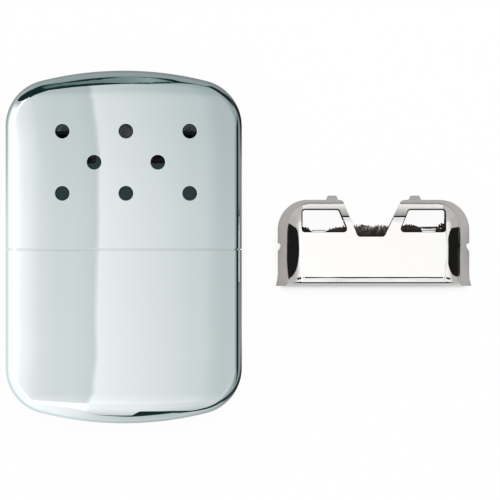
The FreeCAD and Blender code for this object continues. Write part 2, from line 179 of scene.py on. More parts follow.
ray = add_node(sky, "LightPath")
mirrored = add_node(sky, "Background", {"Color": slightly_cyan(sky, light), "Strength": 1.0})
lighting = add_node(sky, "Background", {"Color": WHITE, "Strength": ROOM_LIGHT})
backdrop = add_node(sky, "Background", {"Color": WHITE, "Strength": 1.0})
unseen = add_node(sky, "MixShader", [ray["Is Glossy Ray"], lighting, mirrored])
seen = add_node(sky, "MixShader", [ray["Is Camera Ray"], unseen, backdrop])
add_node(sky, "OutputWorld", {"Surface": seen})

SOFTBOX_SIZE = (0.9, 0.6)
SOFTBOX_POWER = 5.0
SOFTBOX_BACK, SOFTBOX_UP = 0.55, 0.9
softbox_data = bpy.data.lights.new("softbox", "AREA")
softbox_data.shape = "RECTANGLE"
softbox_data.size, softbox_data.size_y = SOFTBOX_SIZE
softbox_data.energy = SOFTBOX_POWER
softbox = add_object("softbox", softbox_data)
softbox.location = (0.0, SOFTBOX_BACK, SOFTBOX_UP)
softbox.rotation_euler = (-math.atan2(SOFTBOX_BACK, SOFTBOX_UP), 0.0, 0.0)
softbox.visible_glossy = False


def new_material(name):
    """A material with no surface yet, its tree, and the place of each point on the piece."""
    material = bpy.data.materials.new(name)
    material.use_nodes = True
    material.node_tree.nodes.clear()
    return material, material.node_tree, add_node(material.node_tree, "TexCoord")["Object"]


def card(name, width, height, location, turn):
    """A stiff card of the studio, turned from lying flat."""
    bpy.ops.object.select_all(action="DESELECT")
    bpy.ops.mesh.primitive_plane_add(size=1, location=location, rotation=turn)
    piece = bpy.context.object
    piece.name = name
    piece.scale = (width, height, 1)
    bpy.ops.object.transform_apply(location=True, rotation=True, scale=True)
    return piece


def patch_of_floor(tree, at, across, along):
    """A soft-edged patch of the floor, from stops over X and stops over Y, both in mm."""
    sides = [
        graph(tree, at[axis], [(reach * MM, share) for reach, share in stops])
        for axis, stops in (("X", across), ("Y", along))
    ]
    return add_node(tree, "Math", sides, operation="MULTIPLY")


# White paper: it keeps the shadows, faintly. Under the case its colour is painted dark, a painted shade as
# dark as it looks through the vents. Under the spare burner it is painted white, a painted light, and a band
# at that burner's foot loses its glow, a painted contact shadow. Metal mirrors it by where it lies round the
# case, with a brightness painted by direction and distance: a painted reflection.
FLOOR_SIZE = 6.0
FLOOR_DROP = 0.05 * MM
SHADOW_REACH = 25 * MM
# The second colour is painted shade, for the paper under the case.
PAPER_COLOUR, PAINTED_SHADE_PAPER = "#EDEDED", "#869FA2"
WHITE_BY_OPENNESS = [(0.0, 0.0), (0.08, 0.0), (0.42, 0.96), (1.0, 0.96)]
# Painted light: under the spare burner the paper keeps its white glow, so that the windows show white where
# it would be shaded.
PAINTED_LIGHT_UNDER_BURNER = (
    [(46, 0.0), (47, 0.93), (93, 0.93), (94, 0.0)], [(-9.5, 0.0), (-9, 1.0), (10, 1.0), (10.5, 0.0)],
)
PAINTED_SHADE_UNDER_CASE = ([(-29, 0.0), (-27, 1.0), (27, 1.0), (29, 0.0)], [(-44, 0.0), (-42, 1.0), (42, 1.0), (44, 0.0)])
# Painted contact shadow: a band along the spare burner's foot where the paper's glow is taken away, so that
# it shows dark; it fades where the floor is open.
PAINTED_CONTACT_SHADOW = (
    [(43, 0.0), (44.5, 1.0), (95.5, 1.0), (97, 0.0)],
    [(-12.7, 0.0), (-11.9, 0.14), (-11.4, 0.4), (-10.9, 1.0), (-10, 1.0), (-9.5, 0.0)],
)
PAINTED_SHADOW_BY_OPENNESS = [(0.0, 0.8), (0.7, 0.8), (0.82, 0.0)]
# Painted reflection: what metal sees of the paper glows by direction round the case and by distance from it,
# dark in two places.
CASE_REACH = (33 * MM, 49 * MM, 1.0)    # half across and along; the floor is never past the third
FLOOR_BY_DISTANCE = [(0.0, 0.70), (20 * MM, 0.78), (60 * MM, 1.0), (90 * MM, 1.0)]
FLOOR_SEEN_IN_METAL = [     # degrees round the case from the right, and how bright
    (0, 0.40), (30, 0.45), (37, 0.04), (48.5, 0.04), (51, 0.42), (105, 0.54), (137, 0.7), (152, 0.95),
    (170, 1.3), (235, 1.4), (252, 1.35), (260, 1.12), (270, 0.95), (290, 0.85), (306, 0.6), (311, 0.05),
    (319, 0.05), (328, 0.5), (345, 0.40), (360, 0.40),
]
FLOOR_TINT = (0.92, 1, 1, 1)

floor = card("floor", FLOOR_SIZE, FLOOR_SIZE, (0, 0, -FLOOR_DROP), (0, 0, 0))
paper, tree, place = new_material("white seamless paper")
ray = add_node(tree, "LightPath")
at = add_node(tree, "SeparateXYZ", [place])
openness = add_node(tree, "AmbientOcclusion", {"Distance": SHADOW_REACH}, samples=12)["AO"]
share = graph(tree, openness, WHITE_BY_OPENNESS)
# Painted contact shadow along the spare burner's foot.
painted_contact_shadow = add_node(tree, "Math", [
    patch_of_floor(tree, at, *PAINTED_CONTACT_SHADOW), graph(tree, openness, PAINTED_SHADOW_BY_OPENNESS),
], operation="MULTIPLY")
outside_painted_shadow = add_node(tree, "Math", [1.0, painted_contact_shadow], operation="SUBTRACT")
# The white share is raised under the spare burner, a painted light, and taken away in the band at its foot,
# a painted contact shadow.
for operation, other in (
    ("MAXIMUM", patch_of_floor(tree, at, *PAINTED_LIGHT_UNDER_BURNER)), ("MULTIPLY", outside_painted_shadow),
    ("MULTIPLY", ray["Is Camera Ray"]),
):
    share = add_node(tree, "Math", [share, other], operation=operation)
past_case = place
for operation, *other in (("ABSOLUTE",), ("SUBTRACT", CASE_REACH), ("MAXIMUM", (0, 0, 0))):
    past_case = add_node(tree, "VectorMath", [past_case, *other], operation=operation)
away = add_node(tree, "VectorMath", [past_case], operation="LENGTH")["Value"]
# Painted reflection: the paper's brightness as metal sees it.
tone = add_node(tree, "Math", [
    graph(tree, degrees_round(tree, at), FLOOR_SEEN_IN_METAL), graph(tree, away, FLOOR_BY_DISTANCE),
], operation="MULTIPLY")
# Painted shade: under the case the paper takes the darker colour.
paper_with_painted_shade = add_node(tree, "Mix", {
    0: patch_of_floor(tree, at, *PAINTED_SHADE_UNDER_CASE), 6: hex_colour(PAPER_COLOUR), 7: hex_colour(PAINTED_SHADE_PAPER),
}, data_type="RGBA")[2]
matt = add_node(tree, "BsdfDiffuse", {"Color": paper_with_painted_shade})
white = add_node(tree, "Emission", {"Color": WHITE, "Strength": 1.0})
mirrored = add_node(tree, "Emission", {"Color": FLOOR_TINT, "Strength": tone})
paper_look = add_node(tree, "MixShader", [share, matt, white])
paper_look = add_node(tree, "MixShader", [ray["Is Glossy Ray"], paper_look, mirrored])
add_node(tree, "OutputMaterial", {"Surface": paper_look})
floor.data.materials.append(paper)

# Cards stand close round the burner that lies on the table, so that its walls and creases mirror
# them. Only its own reflections show them: from behind, edge on or far off they are clear. The
# two side cards have a black patch that narrows upwards.
CARD_HEIGHT = 40 * MM
CARD_WARMTH = (1, 0.99, 0.985, 1)
BLACK = 0.012
PATCH_REACH = 10 * MM       # rays longer than this pass the black patch
EDGE_ON = 0.8
CORNER_CARD = [(0, 0.5), (6, 0.54), (9, 0.62), (20, 0.85), (40, 0.9)]
# Each row is a name, the width, the middle, the turn, the longest ray that sees the card, the
# patch's half width at the floor and how fast it narrows, and stops of height and brightness.
for name, wide, middle, turn, reach, patch, stops in (
    ("left_card", 30, (41.6, -0.7), math.pi / 2, 16, (13.1, 1.0),
     [(0, 0.5), (7.2, 0.5), (10, 0.68), (14, 1), (40, 1)]),
    ("right_card", 30, (98.2, -1.2), -math.pi / 2, 16, (8.6, 0.3),
     [(0, 0.5), (7.2, 0.5), (9, 0.8), (14, 1), (40, 1)]),
    ("top_card", 48, (69.9, 18), 0.0, 18, None,
     [(0, 0.8), (3, 0.9), (4.6, 1.05), (7.5, 0.42), (11.9, 0.4), (12, BLACK), (17.5, BLACK), (17.7, 0.95),
      (24, 1), (40, 1)]),
    ("foot_card", 56, (69.9, -14.5), math.pi, 12, None,
     [(0, 0.5), (4.9, 0.5), (5, BLACK), (16, BLACK), (16.2, 0.9), (20, 1), (40, 1)]),
    ("left_corner_card", 14, (42.6, 13.4), math.pi / 4, 14, None, CORNER_CARD),
    ("right_corner_card", 15, (97.2, 12.6), -math.pi / 4, 14, None, CORNER_CARD),
):
    flag = card(name, wide * MM, CARD_HEIGHT, (middle[0] * MM, middle[1] * MM, CARD_HEIGHT / 2),
                (math.pi / 2, 0, turn))
    surface, tree, place = new_material(f"{name} paper")
    at = add_node(tree, "SeparateXYZ", [place])
    level = graph(tree, at["Z"], [(height * MM, bright) for height, bright in stops])
    ray_length = add_node(tree, "LightPath")["Ray Length"]
    if patch:
        off_middle = add_node(tree, "Math", [at["Y"], middle[1] * MM], operation="SUBTRACT")
        off_middle = add_node(tree, "Math", [off_middle], operation="ABSOLUTE")
        edge = add_node(tree, "Math", [at["Z"], patch[1], off_middle], operation="MULTIPLY_ADD")
        in_patch = add_node(tree, "Math", [edge, patch[0] * MM], operation="LESS_THAN")
        near = add_node(tree, "Math", [ray_length, PATCH_REACH], operation="LESS_THAN")
        in_patch = add_node(tree, "Math", [in_patch, near], operation="MULTIPLY")
        level = add_node(tree, "Mix", {0: in_patch, 2: level, 3: BLACK})
    hidden = add_node(tree, "NewGeometry")["Backfacing"]
    for value, limit in ((add_node(tree, "LayerWeight")["Facing"], EDGE_ON), (ray_length, reach * MM)):
        past = add_node(tree, "Math", [value, limit], operation="GREATER_THAN")
        hidden = add_node(tree, "Math", [hidden, past], operation="MAXIMUM")
    glow = add_node(tree, "Emission", {"Color": CARD_WARMTH, "Strength": level})
    clear = add_node(tree, "BsdfTransparent")
    add_node(tree, "OutputMaterial", {"Surface": add_node(tree, "MixShader", [hidden, glow, clear])})
    flag.data.materials.append(surface)
    flag.visible_camera = flag.visible_diffuse = flag.visible_shadow = False


# ---- Case: tank shell and upper case ----
# Two halves drawn from thin steel sheet, polished and chrome plated. The faces are crowned
# across the width and bend down at the ends; a small radius turns them into the side wall.
# They are laid out point by point with exact normals, since a mirror shows the slightest facet.
CASE_HALF_WIDTH = 33.0 * MM
CASE_HALF_LENGTH = 49.25 * MM
CASE_HALF_THICKNESS = 6.5 * MM
CASE_SHEET = 0.45 * MM
CROWN_RADIUS = 200.0 * MM
END_ARC_RADIUS = 95.0 * MM
CORNER_RADIUS = 13.0 * MM
EDGE_RADIUS = 3.3 * MM
BEND_Y = 41.25 * MM
BEND_RADIUS = 12.0 * MM     # on the middle line, and tighter towards the corners
TIGHTEST_BEND = 0.3         # as a share of that
SEAM_Y = -0.8 * MM
SEAM_GAP = 0.25 * MM
CASE_LIP = 0.16 * MM        # rounding of a cut edge
VENT_RADIUS = 2.0 * MM
VENT_PITCH = (17.75 * MM, 8.65 * MM)
VENT_MIDDLE = (0.8 * MM, 23.6 * MM)
FACE_SPACING = 2.4 * MM
BEND_SPACING = 0.8 * MM
RIM_CLEARANCE = 0.4 * FACE_SPACING
VENT_CLEARANCE = 0.5 * FACE_SPACING
CORNER_STEPS = 26
END_STEPS = 14
ROLL_STEPS = 14
VENT_STEPS = 40
LIP_STEPS = 5
ROLL_ROUNDS = 12           # of search for the line where the roll leaves the face
SAME_SPOT = 1e-7           # m: points of an outline that are closer than this are one


def face_height(x, y):
    """How high the crowned face stands over the case's middle plane."""
    crown = CASE_HALF_THICKNESS - CROWN_RADIUS + math.sqrt(CROWN_RADIUS ** 2 - x * x)
    past_bend = max(abs(y) - BEND_Y, 0.0)
    end_y = CASE_HALF_LENGTH - END_ARC_RADIUS + math.sqrt(END_ARC_RADIUS ** 2 - x * x)
    radius = BEND_RADIUS * max((end_y - BEND_Y) / (CASE_HALF_LENGTH - BEND_Y), TIGHTEST_BEND)
    return crown - radius + math.sqrt(radius ** 2 - past_bend ** 2)


def normal_of(height, x, y):
    """The normal of a surface given as a height over a plane."""
    step = 0.001 * MM
    slope_x = (height(x + step, y) - height(x - step, y)) / (2 * step)
    slope_y = (height(x, y + step) - height(x, y - step)) / (2 * step)
    return Vector((-slope_x, -slope_y, 1.0)).normalized()


def outline_samples(inset, low_y):
    """Points round the case from the right side at low_y, over the top, to the left side.

    Each is a point on the silhouette, drawn in by inset, with its outward direction."""
    corner_x = CASE_HALF_WIDTH - CORNER_RADIUS
    arc_y = CASE_HALF_LENGTH - END_ARC_RADIUS
    corner_y = arc_y + math.sqrt((END_ARC_RADIUS - CORNER_RADIUS) ** 2 - corner_x ** 2)
    lean = math.atan2(corner_x, corner_y - arc_y)
    right = []
    side_steps = round((corner_y - low_y) / FACE_SPACING)
    for i in range(side_steps):
        y = low_y + (corner_y - low_y) * i / side_steps
        right.append((Vector((CASE_HALF_WIDTH - inset, y)), Vector((1, 0))))
    for i in range(CORNER_STEPS):
        turn = (math.pi / 2 - lean) * i / CORNER_STEPS
        out = Vector((math.cos(turn), math.sin(turn)))
        right.append((Vector((corner_x, corner_y)) + (CORNER_RADIUS - inset) * out, out))
    for i in range(END_STEPS):
        turn = lean * (1 - i / END_STEPS)
        out = Vector((math.sin(turn), math.cos(turn)))
        right.append((Vector((0, arc_y)) + (END_ARC_RADIUS - inset) * out, out))
    left = [(Vector((-p.x, p.y)), Vector((-o.x, o.y))) for p, o in reversed(right)]
    return right + [(Vector((0, CASE_HALF_LENGTH - inset)), Vector((0, 1)))] + left


def rolled_edge(point, out):
    """The section of the case's edge at one silhouette point, from the face to the middle plane.

    Gives positions and normals: a circular roll that leaves the face smoothly, then the wall."""
    inset = EDGE_RADIUS
    for _ in range(ROLL_ROUNDS):
        at = point - out * inset
        normal = normal_of(face_height, at.x, at.y)
        outward = normal.x * out.x + normal.y * out.y
        flat = math.hypot(outward, normal.z)
        inset = EDGE_RADIUS * (1 - outward / flat)
    at = point - out * inset
    centre_z = face_height(at.x, at.y) - EDGE_RADIUS * normal.z / flat
    tangent = Vector((-out.y, out.x))
    drift = (normal.x * tangent.x + normal.y * tangent.y) / flat
    start = math.atan2(normal.z, outward)
    places, normals = [], []
    for i in range(ROLL_STEPS + 1):
        turn = start * (1 - i / ROLL_STEPS)
        spot = point - out * EDGE_RADIUS * (1 - math.cos(turn))
        places.append(Vector((spot.x, spot.y, centre_z + EDGE_RADIUS * math.sin(turn))))
        sideways = drift * math.sin(turn) / math.sin(start)
        normals.append(Vector((
            math.cos(turn) * out.x + sideways * tangent.x,
            math.cos(turn) * out.y + sideways * tangent.y,
            math.sin(turn),
        )).normalized())
    places.append(Vector((point.x, point.y, 0.0)))
    normals.append(Vector((out.x, out.y, 0.0)))
    return places, normals


def within(spot, loop):
    """Whether a point in the plane is inside a closed loop."""
    inside = False
    for i, a in enumerate(loop):
        b = loop[i - 1]
        if (a.y > spot.y) != (b.y > spot.y) and spot.x < (b.x - a.x) * (spot.y - a.y) / (b.y - a.y) + a.x:
            inside = not inside
    return inside


def clear_of(spot, loop, margin):
    """Whether a point keeps further than a margin from every point of a loop."""
    return all((spot - p).length > margin for p in loop)


def triangulate(rim, holes, lines, lattice):
    """Triangles between a rim and its holes, along guide lines and over loose lattice points."""
    flat, edges = [], []
    for loop in [rim] + holes:
        first = len(flat)
        flat += loop
        edges += [(first + i, first + (i + 1) % len(loop)) for i in range(len(loop))]
    for run in lines:
        first = len(flat)
        flat += run
        edges += [(first + i, first + i + 1) for i in range(len(run) - 1)]
    flat += lattice
    points, _, faces, origins, _, _ = delaunay_2d_cdt(flat, edges, [], 1, SAME_SPOT)
    place = {old: new for new, olds in enumerate(origins) for old in olds}
    kept = []
    for face in faces:
        middle = sum((points[i] for i in face), Vector((0, 0))) / len(face)
        if within(middle, rim) and not any(within(middle, hole) for hole in holes):
            kept.append(list(face))
    return points, kept, [place[i] for i in range(len(rim))]


def edge_loops(faces):
    """The open edges of a skin, chained into loops that keep the skin on their left."""
    used = {(face[i], face[(i + 1) % len(face)]) for face in faces for i in range(len(face))}
    after = {a: b for a, b in used if (b, a) not in used}
    loops = []
    while after:
        start, following = after.popitem()
        loop = [start]
        while following != start:
            loop.append(following)
            following = after.pop(following)
        loops.append(loop)
    return loops


def sheet_metal(name, points, normals, faces, thickness, lip, place, hole_lip=None):
    """A piece of sheet: a skin, the same skin again on the inside, and rounded cut edges.

    place says where the finished piece goes: it takes a vector and whether it is a position.
    The inside and the cut edges beyond their rounding take the second material. With hole_lip,
    the holes' edges are rounded by that much instead, in the third material."""
    inner = len(points)
    normals = list(normals)
    all_faces = list(faces)
    corners = [[normals[i] for i in face] for face in faces]
    slots = [0] * len(faces)
    everything = list(points) + [p - n * thickness for p, n in zip(points, normals)]
    for face in faces:
        all_faces.append([inner + i for i in reversed(face)])
        corners.append([-normals[i] for i in reversed(face)])
        slots.append(1)
    for loop in edge_loops(faces):
        count = len(loop)
        area = sum(points[loop[k - 1]].cross(points[loop[k]]).z for k in range(count))
        in_hole = hole_lip is not None and area < 0
        radius = hole_lip if in_hole else lip
        rings = [loop]
        turned = [[normals[i] for i in loop]]
        away = []
        for k in range(count):
            normal = normals[loop[k]]
            run = points[loop[(k + 1) % count]] - points[loop[k - 1]]
            away.append(run.cross(normal).normalized())
        for step in range(1, LIP_STEPS + 2):
            turn = math.pi / 2 * min(step / LIP_STEPS, 1.0)
            depth = radius * (1 - math.cos(turn)) if step <= LIP_STEPS else thickness
            rings.append(list(range(len(everything), len(everything) + count)))
            turned.append([math.cos(turn) * normals[i] + math.sin(turn) * out for i, out in zip(loop, away)])
            everything += [
                points[i] + out * radius * math.sin(turn) - normals[i] * depth for i, out in zip(loop, away)
            ]
        for step in range(len(rings) - 1):
            for k in range(count):
                j = (k + 1) % count
                all_faces.append([rings[step][j], rings[step][k], rings[step + 1][k], rings[step + 1][j]])
                corners.append([turned[step][j], turned[step][k], turned[step + 1][k], turned[step + 1][j]])
                slots.append(2 if in_hole else 0)
        for k in range(count):
            j = (k + 1) % count
            all_faces.append([rings[-1][j], rings[-1][k], inner + loop[k], inner + loop[j]])
            corners.append([-normals[loop[n]] for n in (j, k, k, j)])
            slots.append(1)
    mesh = bpy.data.meshes.new(name)
    mesh.from_pydata([place(p, True) for p in everything], [], all_faces)
    mesh.polygons.foreach_set("material_index", slots)
    mesh.shade_smooth()
    mesh.normals_split_custom_set([place(n, False) for face in corners for n in face])
    return add_object(name, mesh)


def flip_z(vector, sign):
    """A vector on the front for a sign of 1, and its like on the back for -1."""
    return Vector((vector.x, vector.y, sign * vector.z))


def case_half(name, rim_y, upward, vents):
    """One half of the case. It is laid out with its open rim at the bottom."""
    low_y = (rim_y if upward else -rim_y) + CASE_LIP
    columns = [rolled_edge(p, o) for p, o in outline_samples(0.0, low_y)]
    right, left = columns[0][0][0], columns[-1][0][0]
    seam_steps = round((right.x - left.x) / FACE_SPACING)
    seam = [Vector((left.x + (right.x - left.x) * i / seam_steps, low_y)) for i in range(1, seam_steps)]
    rim = [Vector((places[0].x, places[0].y)) for places, _ in columns] + seam
    circles = [
        [c + (VENT_RADIUS + CASE_LIP) * Vector((math.cos(t), math.sin(t)))
         for t in (2 * math.pi * i / VENT_STEPS for i in range(VENT_STEPS))]
        for c in vents
    ]
    lattice = []
    y = low_y + FACE_SPACING
    across = round(2 * CASE_HALF_WIDTH / FACE_SPACING)
    while y < CASE_HALF_LENGTH:
        for i in range(across + 1):
            spot = Vector((CASE_HALF_WIDTH * (2 * i / across - 1), y))
            if within(spot, rim) and clear_of(spot, rim, RIM_CLEARANCE) \
                    and clear_of(spot, vents, VENT_RADIUS + VENT_CLEARANCE):
                lattice.append(spot)
        y += BEND_SPACING if y > BEND_Y - 2 * FACE_SPACING else FACE_SPACING
    flat, triangles, rim_ids = triangulate(rim, circles, [], lattice)

    points, normals, faces, sides = [], [], [], []
    for front in (1, -1):
        first = len(points)
        points += [Vector((p.x, p.y, front * face_height(p.x, p.y))) for p in flat]
        normals += [flip_z(normal_of(face_height, p.x, p.y), front) for p in flat]
        faces += [[first + i for i in (t if front == 1 else reversed(t))] for t in triangles]
        sides.append([first + i for i in rim_ids])
    walls = []
    for number, (places, turned) in enumerate(columns):
        first = len(points)
        middle = len(places) - 1
        points += places[1:] + [flip_z(p, -1) for p in places[1:middle]][::-1]
        normals += turned[1:] + [flip_z(n, -1) for n in turned[1:middle]][::-1]
        walls.append([sides[0][number]] + list(range(first, len(points))) + [sides[1][number]])
    for one, other in zip(walls, walls[1:]):
        faces += [[one[i], one[i + 1], other[i + 1], other[i]] for i in range(len(one) - 1)]

    middle = Vector((0, 0, CASE_HALF_THICKNESS))

    def place(vector, is_position):
        vector = vector if upward else Vector((-vector.x, -vector.y, vector.z))
        return vector + middle if is_position else vector

    return sheet_metal(name, points, normals, faces, CASE_SHEET, CASE_LIP, place)


# Chrome plate over polished steel: a cool, faintly cyan mirror. The polishing mop leaves a
# long shallow waviness, and handling leaves a slightly duller bloom in places.
NOISE_RANGE = (0.35, 0.75)      # where a noise's values mostly lie


def bloom(tree, place, size, least, most):
    """Roughness that drifts between two values over patches of a given size."""
    patches = add_node(tree, "TexNoise", {
        "Vector": place, "Scale": 1 / size, "Detail": 4.0, "Roughness": 0.6,
    })
    return add_node(tree, "MapRange", [patches, *NOISE_RANGE, least, most])


def waves(tree, place, size, depth, detail=1.0):
    """A normal with waves of a given length and depth."""
    height = add_node(tree, "TexNoise", {
        "Vector": place, "Scale": 1 / size, "Detail": detail, "Roughness": 0.45,
    })
    return add_node(tree, "Bump", {"Height": height, "Strength": 1.0, "Distance": depth})


def metal(name, colour, bloomed, waved):
    """A metal of one colour: the other two are what bloom and waves are given."""
    material, tree, place = new_material(name)
    surface = add_node(tree, "BsdfPrincipled", {
        "Base Color": hex_colour(colour), "Metallic": 1.0,
        "Roughness": bloom(tree, place, *bloomed), "Normal": waves(tree, place, *waved),
    })
    add_node(tree, "OutputMaterial", {"Surface": surface})
    return material


case_chrome = metal("chrome plate on polished steel", "#D3D9DA", (9 * MM, 0.01, 0.04), (14 * MM, 0.010 * MM))
# Inside, the same sheet was never polished, and its colour is darkened as painted shade for the dark inside
# of the closed case.
case_inside_painted_dark = metal("unpolished steel inside the case", "#6B7170", (3 * MM, 0.32, 0.45),
                    (0.6 * MM, 0.004 * MM, 3.0))

vent_centres = [
    Vector((VENT_MIDDLE[0] + column * VENT_PITCH[0], VENT_MIDDLE[1] + row * VENT_PITCH[1]))
    for row, columns in ((1, (-1, 0, 1)), (0, (-0.5, 0.5)), (-1, (-1, 0, 1)))
    for column in columns
]
cap = case_half("upper_case_skin", SEAM_Y + SEAM_GAP, True, vent_centres)
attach(cap, "cap")
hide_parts("upper_case")
tank = case_half("tank_shell_skin", SEAM_Y, False, [])
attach(tank, "tank")
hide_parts("tank_shell")
for half in (cap, tank):
    half.data.materials.append(case_chrome)
    half.data.materials.append(case_inside_painted_dark)


# ---- Studio: skirt round the case ----
# A dark card of uneven height stands 5 mm out all round the case, and only the case's rolled
# edge mirrors it, as a line. Rays that come from further in pass it, and see the light room.
SKIRT_AWAY = 5 * MM
SKIRT_BOTTOM = [        # degrees round the case from the right, and heights in mm
    (0, 9.58), (28.7, 9.96), (59, 10.4), (88.8, 10.65), (118.9, 10.42), (150, 10.06), (180, 9.7),
    (210, 10.06), (241, 10.42), (271.2, 10.65), (301, 10.4), (331.2, 9.96), (360, 9.58),
]
DARK_TOP = [
    (0, 13.18), (20.4, 9.3), (32.7, 12.5), (45.7, 14.9), (62.3, 15.2), (71.5, 14.4), (78.1, 15.62),
    (80.5, 17.08), (82.7, 19.06), (85.7, 21.26), (93.8, 22.98), (97, 23), (103.9, 22.6), (109.3, 24),
    (116.4, 25.9), (123.2, 28), (130.5, 31), (135.8, 31.7), (144.7, 33.2), (145.4, 22), (146.5, 11),
    (147.5, 21), (261, 21), (264.7, 16), (271.4, 16.2), (272.9, 20.26), (278.2, 17.88), (282.5, 14.56),
    (307, 14.57), (324.2, 11.23), (334.2, 10.2), (360, 13.18),
]
DARK_BOTTOM = [
    (0, 9.45), (25.6, 5.34), (36.7, 8.74), (55, 9.92), (69.2, 11.2), (72.2, 12.77), (78, 14.97),
    (79.8, 15.33), (81.6, 14.19), (85.2, 14.53), (95.1, 15.05), (101, 15.35), (102.1, 15.2),
    (103.9, 13.3), (117.6, 13.6), (126.2, 12.6), (133.9, 11.6), (140, 10.1), (143.2, 9.3), (146, 9.0),
    (146.6, 21.8), (261, 21.8), (264.7, 16), (271.4, 15.12), (274.7, 15.53), (278.7, 15.62),
    (283.4, 11.84), (307.1, 11.14), (316.4, 9.72), (324.3, 7.98), (333.3, 7.01), (360, 9.45),
]
SEAM_TOP = [            # a lighter gap along the dark, towards the top
    (0, 14.03), (82.3, 16.86), (85.2, 19.53), (89.9, 21.25), (94.3, 20.06), (97.1, 19.81),
    (100.7, 19.09), (103.7, 19.5), (108, 17), (360, 14.03),
]
SEAM_BOTTOM = [
    (0, 14.68), (81.5, 16.62), (82.2, 15.98), (84.9, 15), (90.2, 14.89), (94.8, 17.02), (97.8, 17.1),
    (102.3, 15.7), (108, 17.5), (360, 14.68),
]
SEAM_LIGHT = [          # and how bright it is
    (0, 0.35), (82.6, 0.35), (85.5, 0.48), (90, 0.34), (94.5, 0.30), (97.5, 0.30), (101.2, 0.22),
    (107, 0.16), (117.7, 0.12), (360, 0.12),
]
BELOW_DARK = [          # how bright the card is below the dark
    (0, 0.33), (25.8, 0.45), (69.2, 0.46), (102.8, 0.49), (124.2, 0.55), (136.5, 0.6), (149, 0.7),
    (157.3, 1.46), (249.3, 1.46), (258, 1.36), (261.9, 1.2), (264.8, 1), (269.7, 0.85), (277.3, 0.77),
    (292.9, 0.72), (305, 0.58), (321, 0.5), (333.2, 0.55), (346.2, 0.36), (360, 0.33),
]
DARKEST = 0.03
SKIRT_FOOT = 9 * MM
SKIRT_HEIGHT = 35 * MM
RIPPLE_SCALE = 0.7 / MM
RIPPLE_DEPTH = 1.8      # mm
SEAM_SOFTNESS, BOTTOM_SOFTNESS, TOP_SOFTNESS = 0.8, 0.6, 0.4        # mm
RIM_RAY = 0.72          # the rolled edge lies this share of a point's height away, or further
LEAST_RIM_RAY = 8.0     # mm
RAY_FADE = (3.0, 1.5)   # mm past that where the skirt is clear, and where it is full

upper_half = outline_samples(-SKIRT_AWAY, 0.0)
ring = [(at.x, at.y, math.atan2(out.y, out.x) / (2 * math.pi)) for at, out in upper_half]
ring += [(at.x, -at.y, 1 - math.atan2(out.y, out.x) / (2 * math.pi)) for at, out in reversed(upper_half)]
skirt_mesh = bpy.data.meshes.new("skirt")
corners = [(x, y, z) for x, y, _ in ring for z in (SKIRT_FOOT, SKIRT_HEIGHT)]
walls = [(2 * i, 2 * i + 1, 2 * i + 3, 2 * i + 2) for i in range(len(ring) - 1)]
skirt_mesh.from_pydata(corners, [], walls)
turns = skirt_mesh.attributes.new("turn", "FLOAT", "POINT")
for i, (_, _, turn) in enumerate(ring):
    turns.data[2 * i].value = turns.data[2 * i + 1].value = turn * 360
skirt = add_object("skirt", skirt_mesh)

skirt_card, tree, place = new_material("dark card round the case")
turn = add_node(tree, "Attribute", attribute_name="turn")["Fac"]
height = add_node(tree, "Math", [add_node(tree, "SeparateXYZ", [place])["Z"], MM], operation="DIVIDE")


def under(limit, softness):
    """0 above a line drawn round the skirt and 1 below it, with a soft step."""
    below = add_node(tree, "Math", [limit, height], operation="SUBTRACT")
    return add_node(tree, "MapRange", [below, 0.0, softness], interpolation_type="SMOOTHSTEP")


ripple = add_node(tree, "TexNoise", {"Vector": place, "Scale": RIPPLE_SCALE, "Detail": 2.0})
ripple = add_node(tree, "Math", [ripple, RIPPLE_DEPTH, -RIPPLE_DEPTH / 2], operation="MULTIPLY_ADD")
below_top, below_bottom = (
    under(add_node(tree, "Math", [graph(tree, turn, line), ripple], operation="ADD"), SEAM_SOFTNESS)
    for line in (SEAM_TOP, SEAM_BOTTOM)
)
above_bottom = add_node(tree, "Math", [1.0, below_bottom], operation="SUBTRACT")
seam = add_node(tree, "Math", [below_top, above_bottom], operation="MULTIPLY")
light = add_node(tree, "Mix", {0: seam, 2: DARKEST, 3: graph(tree, turn, SEAM_LIGHT)})
light = add_node(tree, "Mix", {
    0: under(graph(tree, turn, DARK_BOTTOM), BOTTOM_SOFTNESS), 2: light, 3: graph(tree, turn, BELOW_DARK),
})

ray_length = add_node(tree, "LightPath")["Ray Length"]
ray_length = add_node(tree, "Math", [ray_length, MM], operation="DIVIDE")
from_rim = add_node(tree, "Math", [height, RIM_RAY], operation="MULTIPLY")
from_rim = add_node(tree, "Math", [from_rim, LEAST_RIM_RAY], operation="MAXIMUM")
too_long = add_node(tree, "Math", [ray_length, from_rim], operation="SUBTRACT")
near = add_node(tree, "MapRange", [too_long, *RAY_FADE])
bottom = graph(tree, turn, SKIRT_BOTTOM)
top = add_node(tree, "Math", [graph(tree, turn, DARK_TOP), bottom], operation="MAXIMUM")
above = add_node(tree, "Math", [height, bottom], operation="GREATER_THAN")
outside = add_node(tree, "NewGeometry")["Backfacing"]
inside = add_node(tree, "Math", [1.0, outside], operation="SUBTRACT")
shown = near
for condition in (under(top, TOP_SOFTNESS), above, inside):
    shown = add_node(tree, "Math", [shown, condition], operation="MULTIPLY")
glow = add_node(tree, "Emission", {"Color": slightly_cyan(tree, light), "Strength": 1.0})
clear = add_node(tree, "BsdfTransparent")
add_node(tree, "OutputMaterial", {"Surface": add_node(tree, "MixShader", [shown, clear, glow])})
skirt_mesh.materials.append(skirt_card)
skirt.visible_camera = skirt.visible_diffuse = skirt.visible_shadow = False


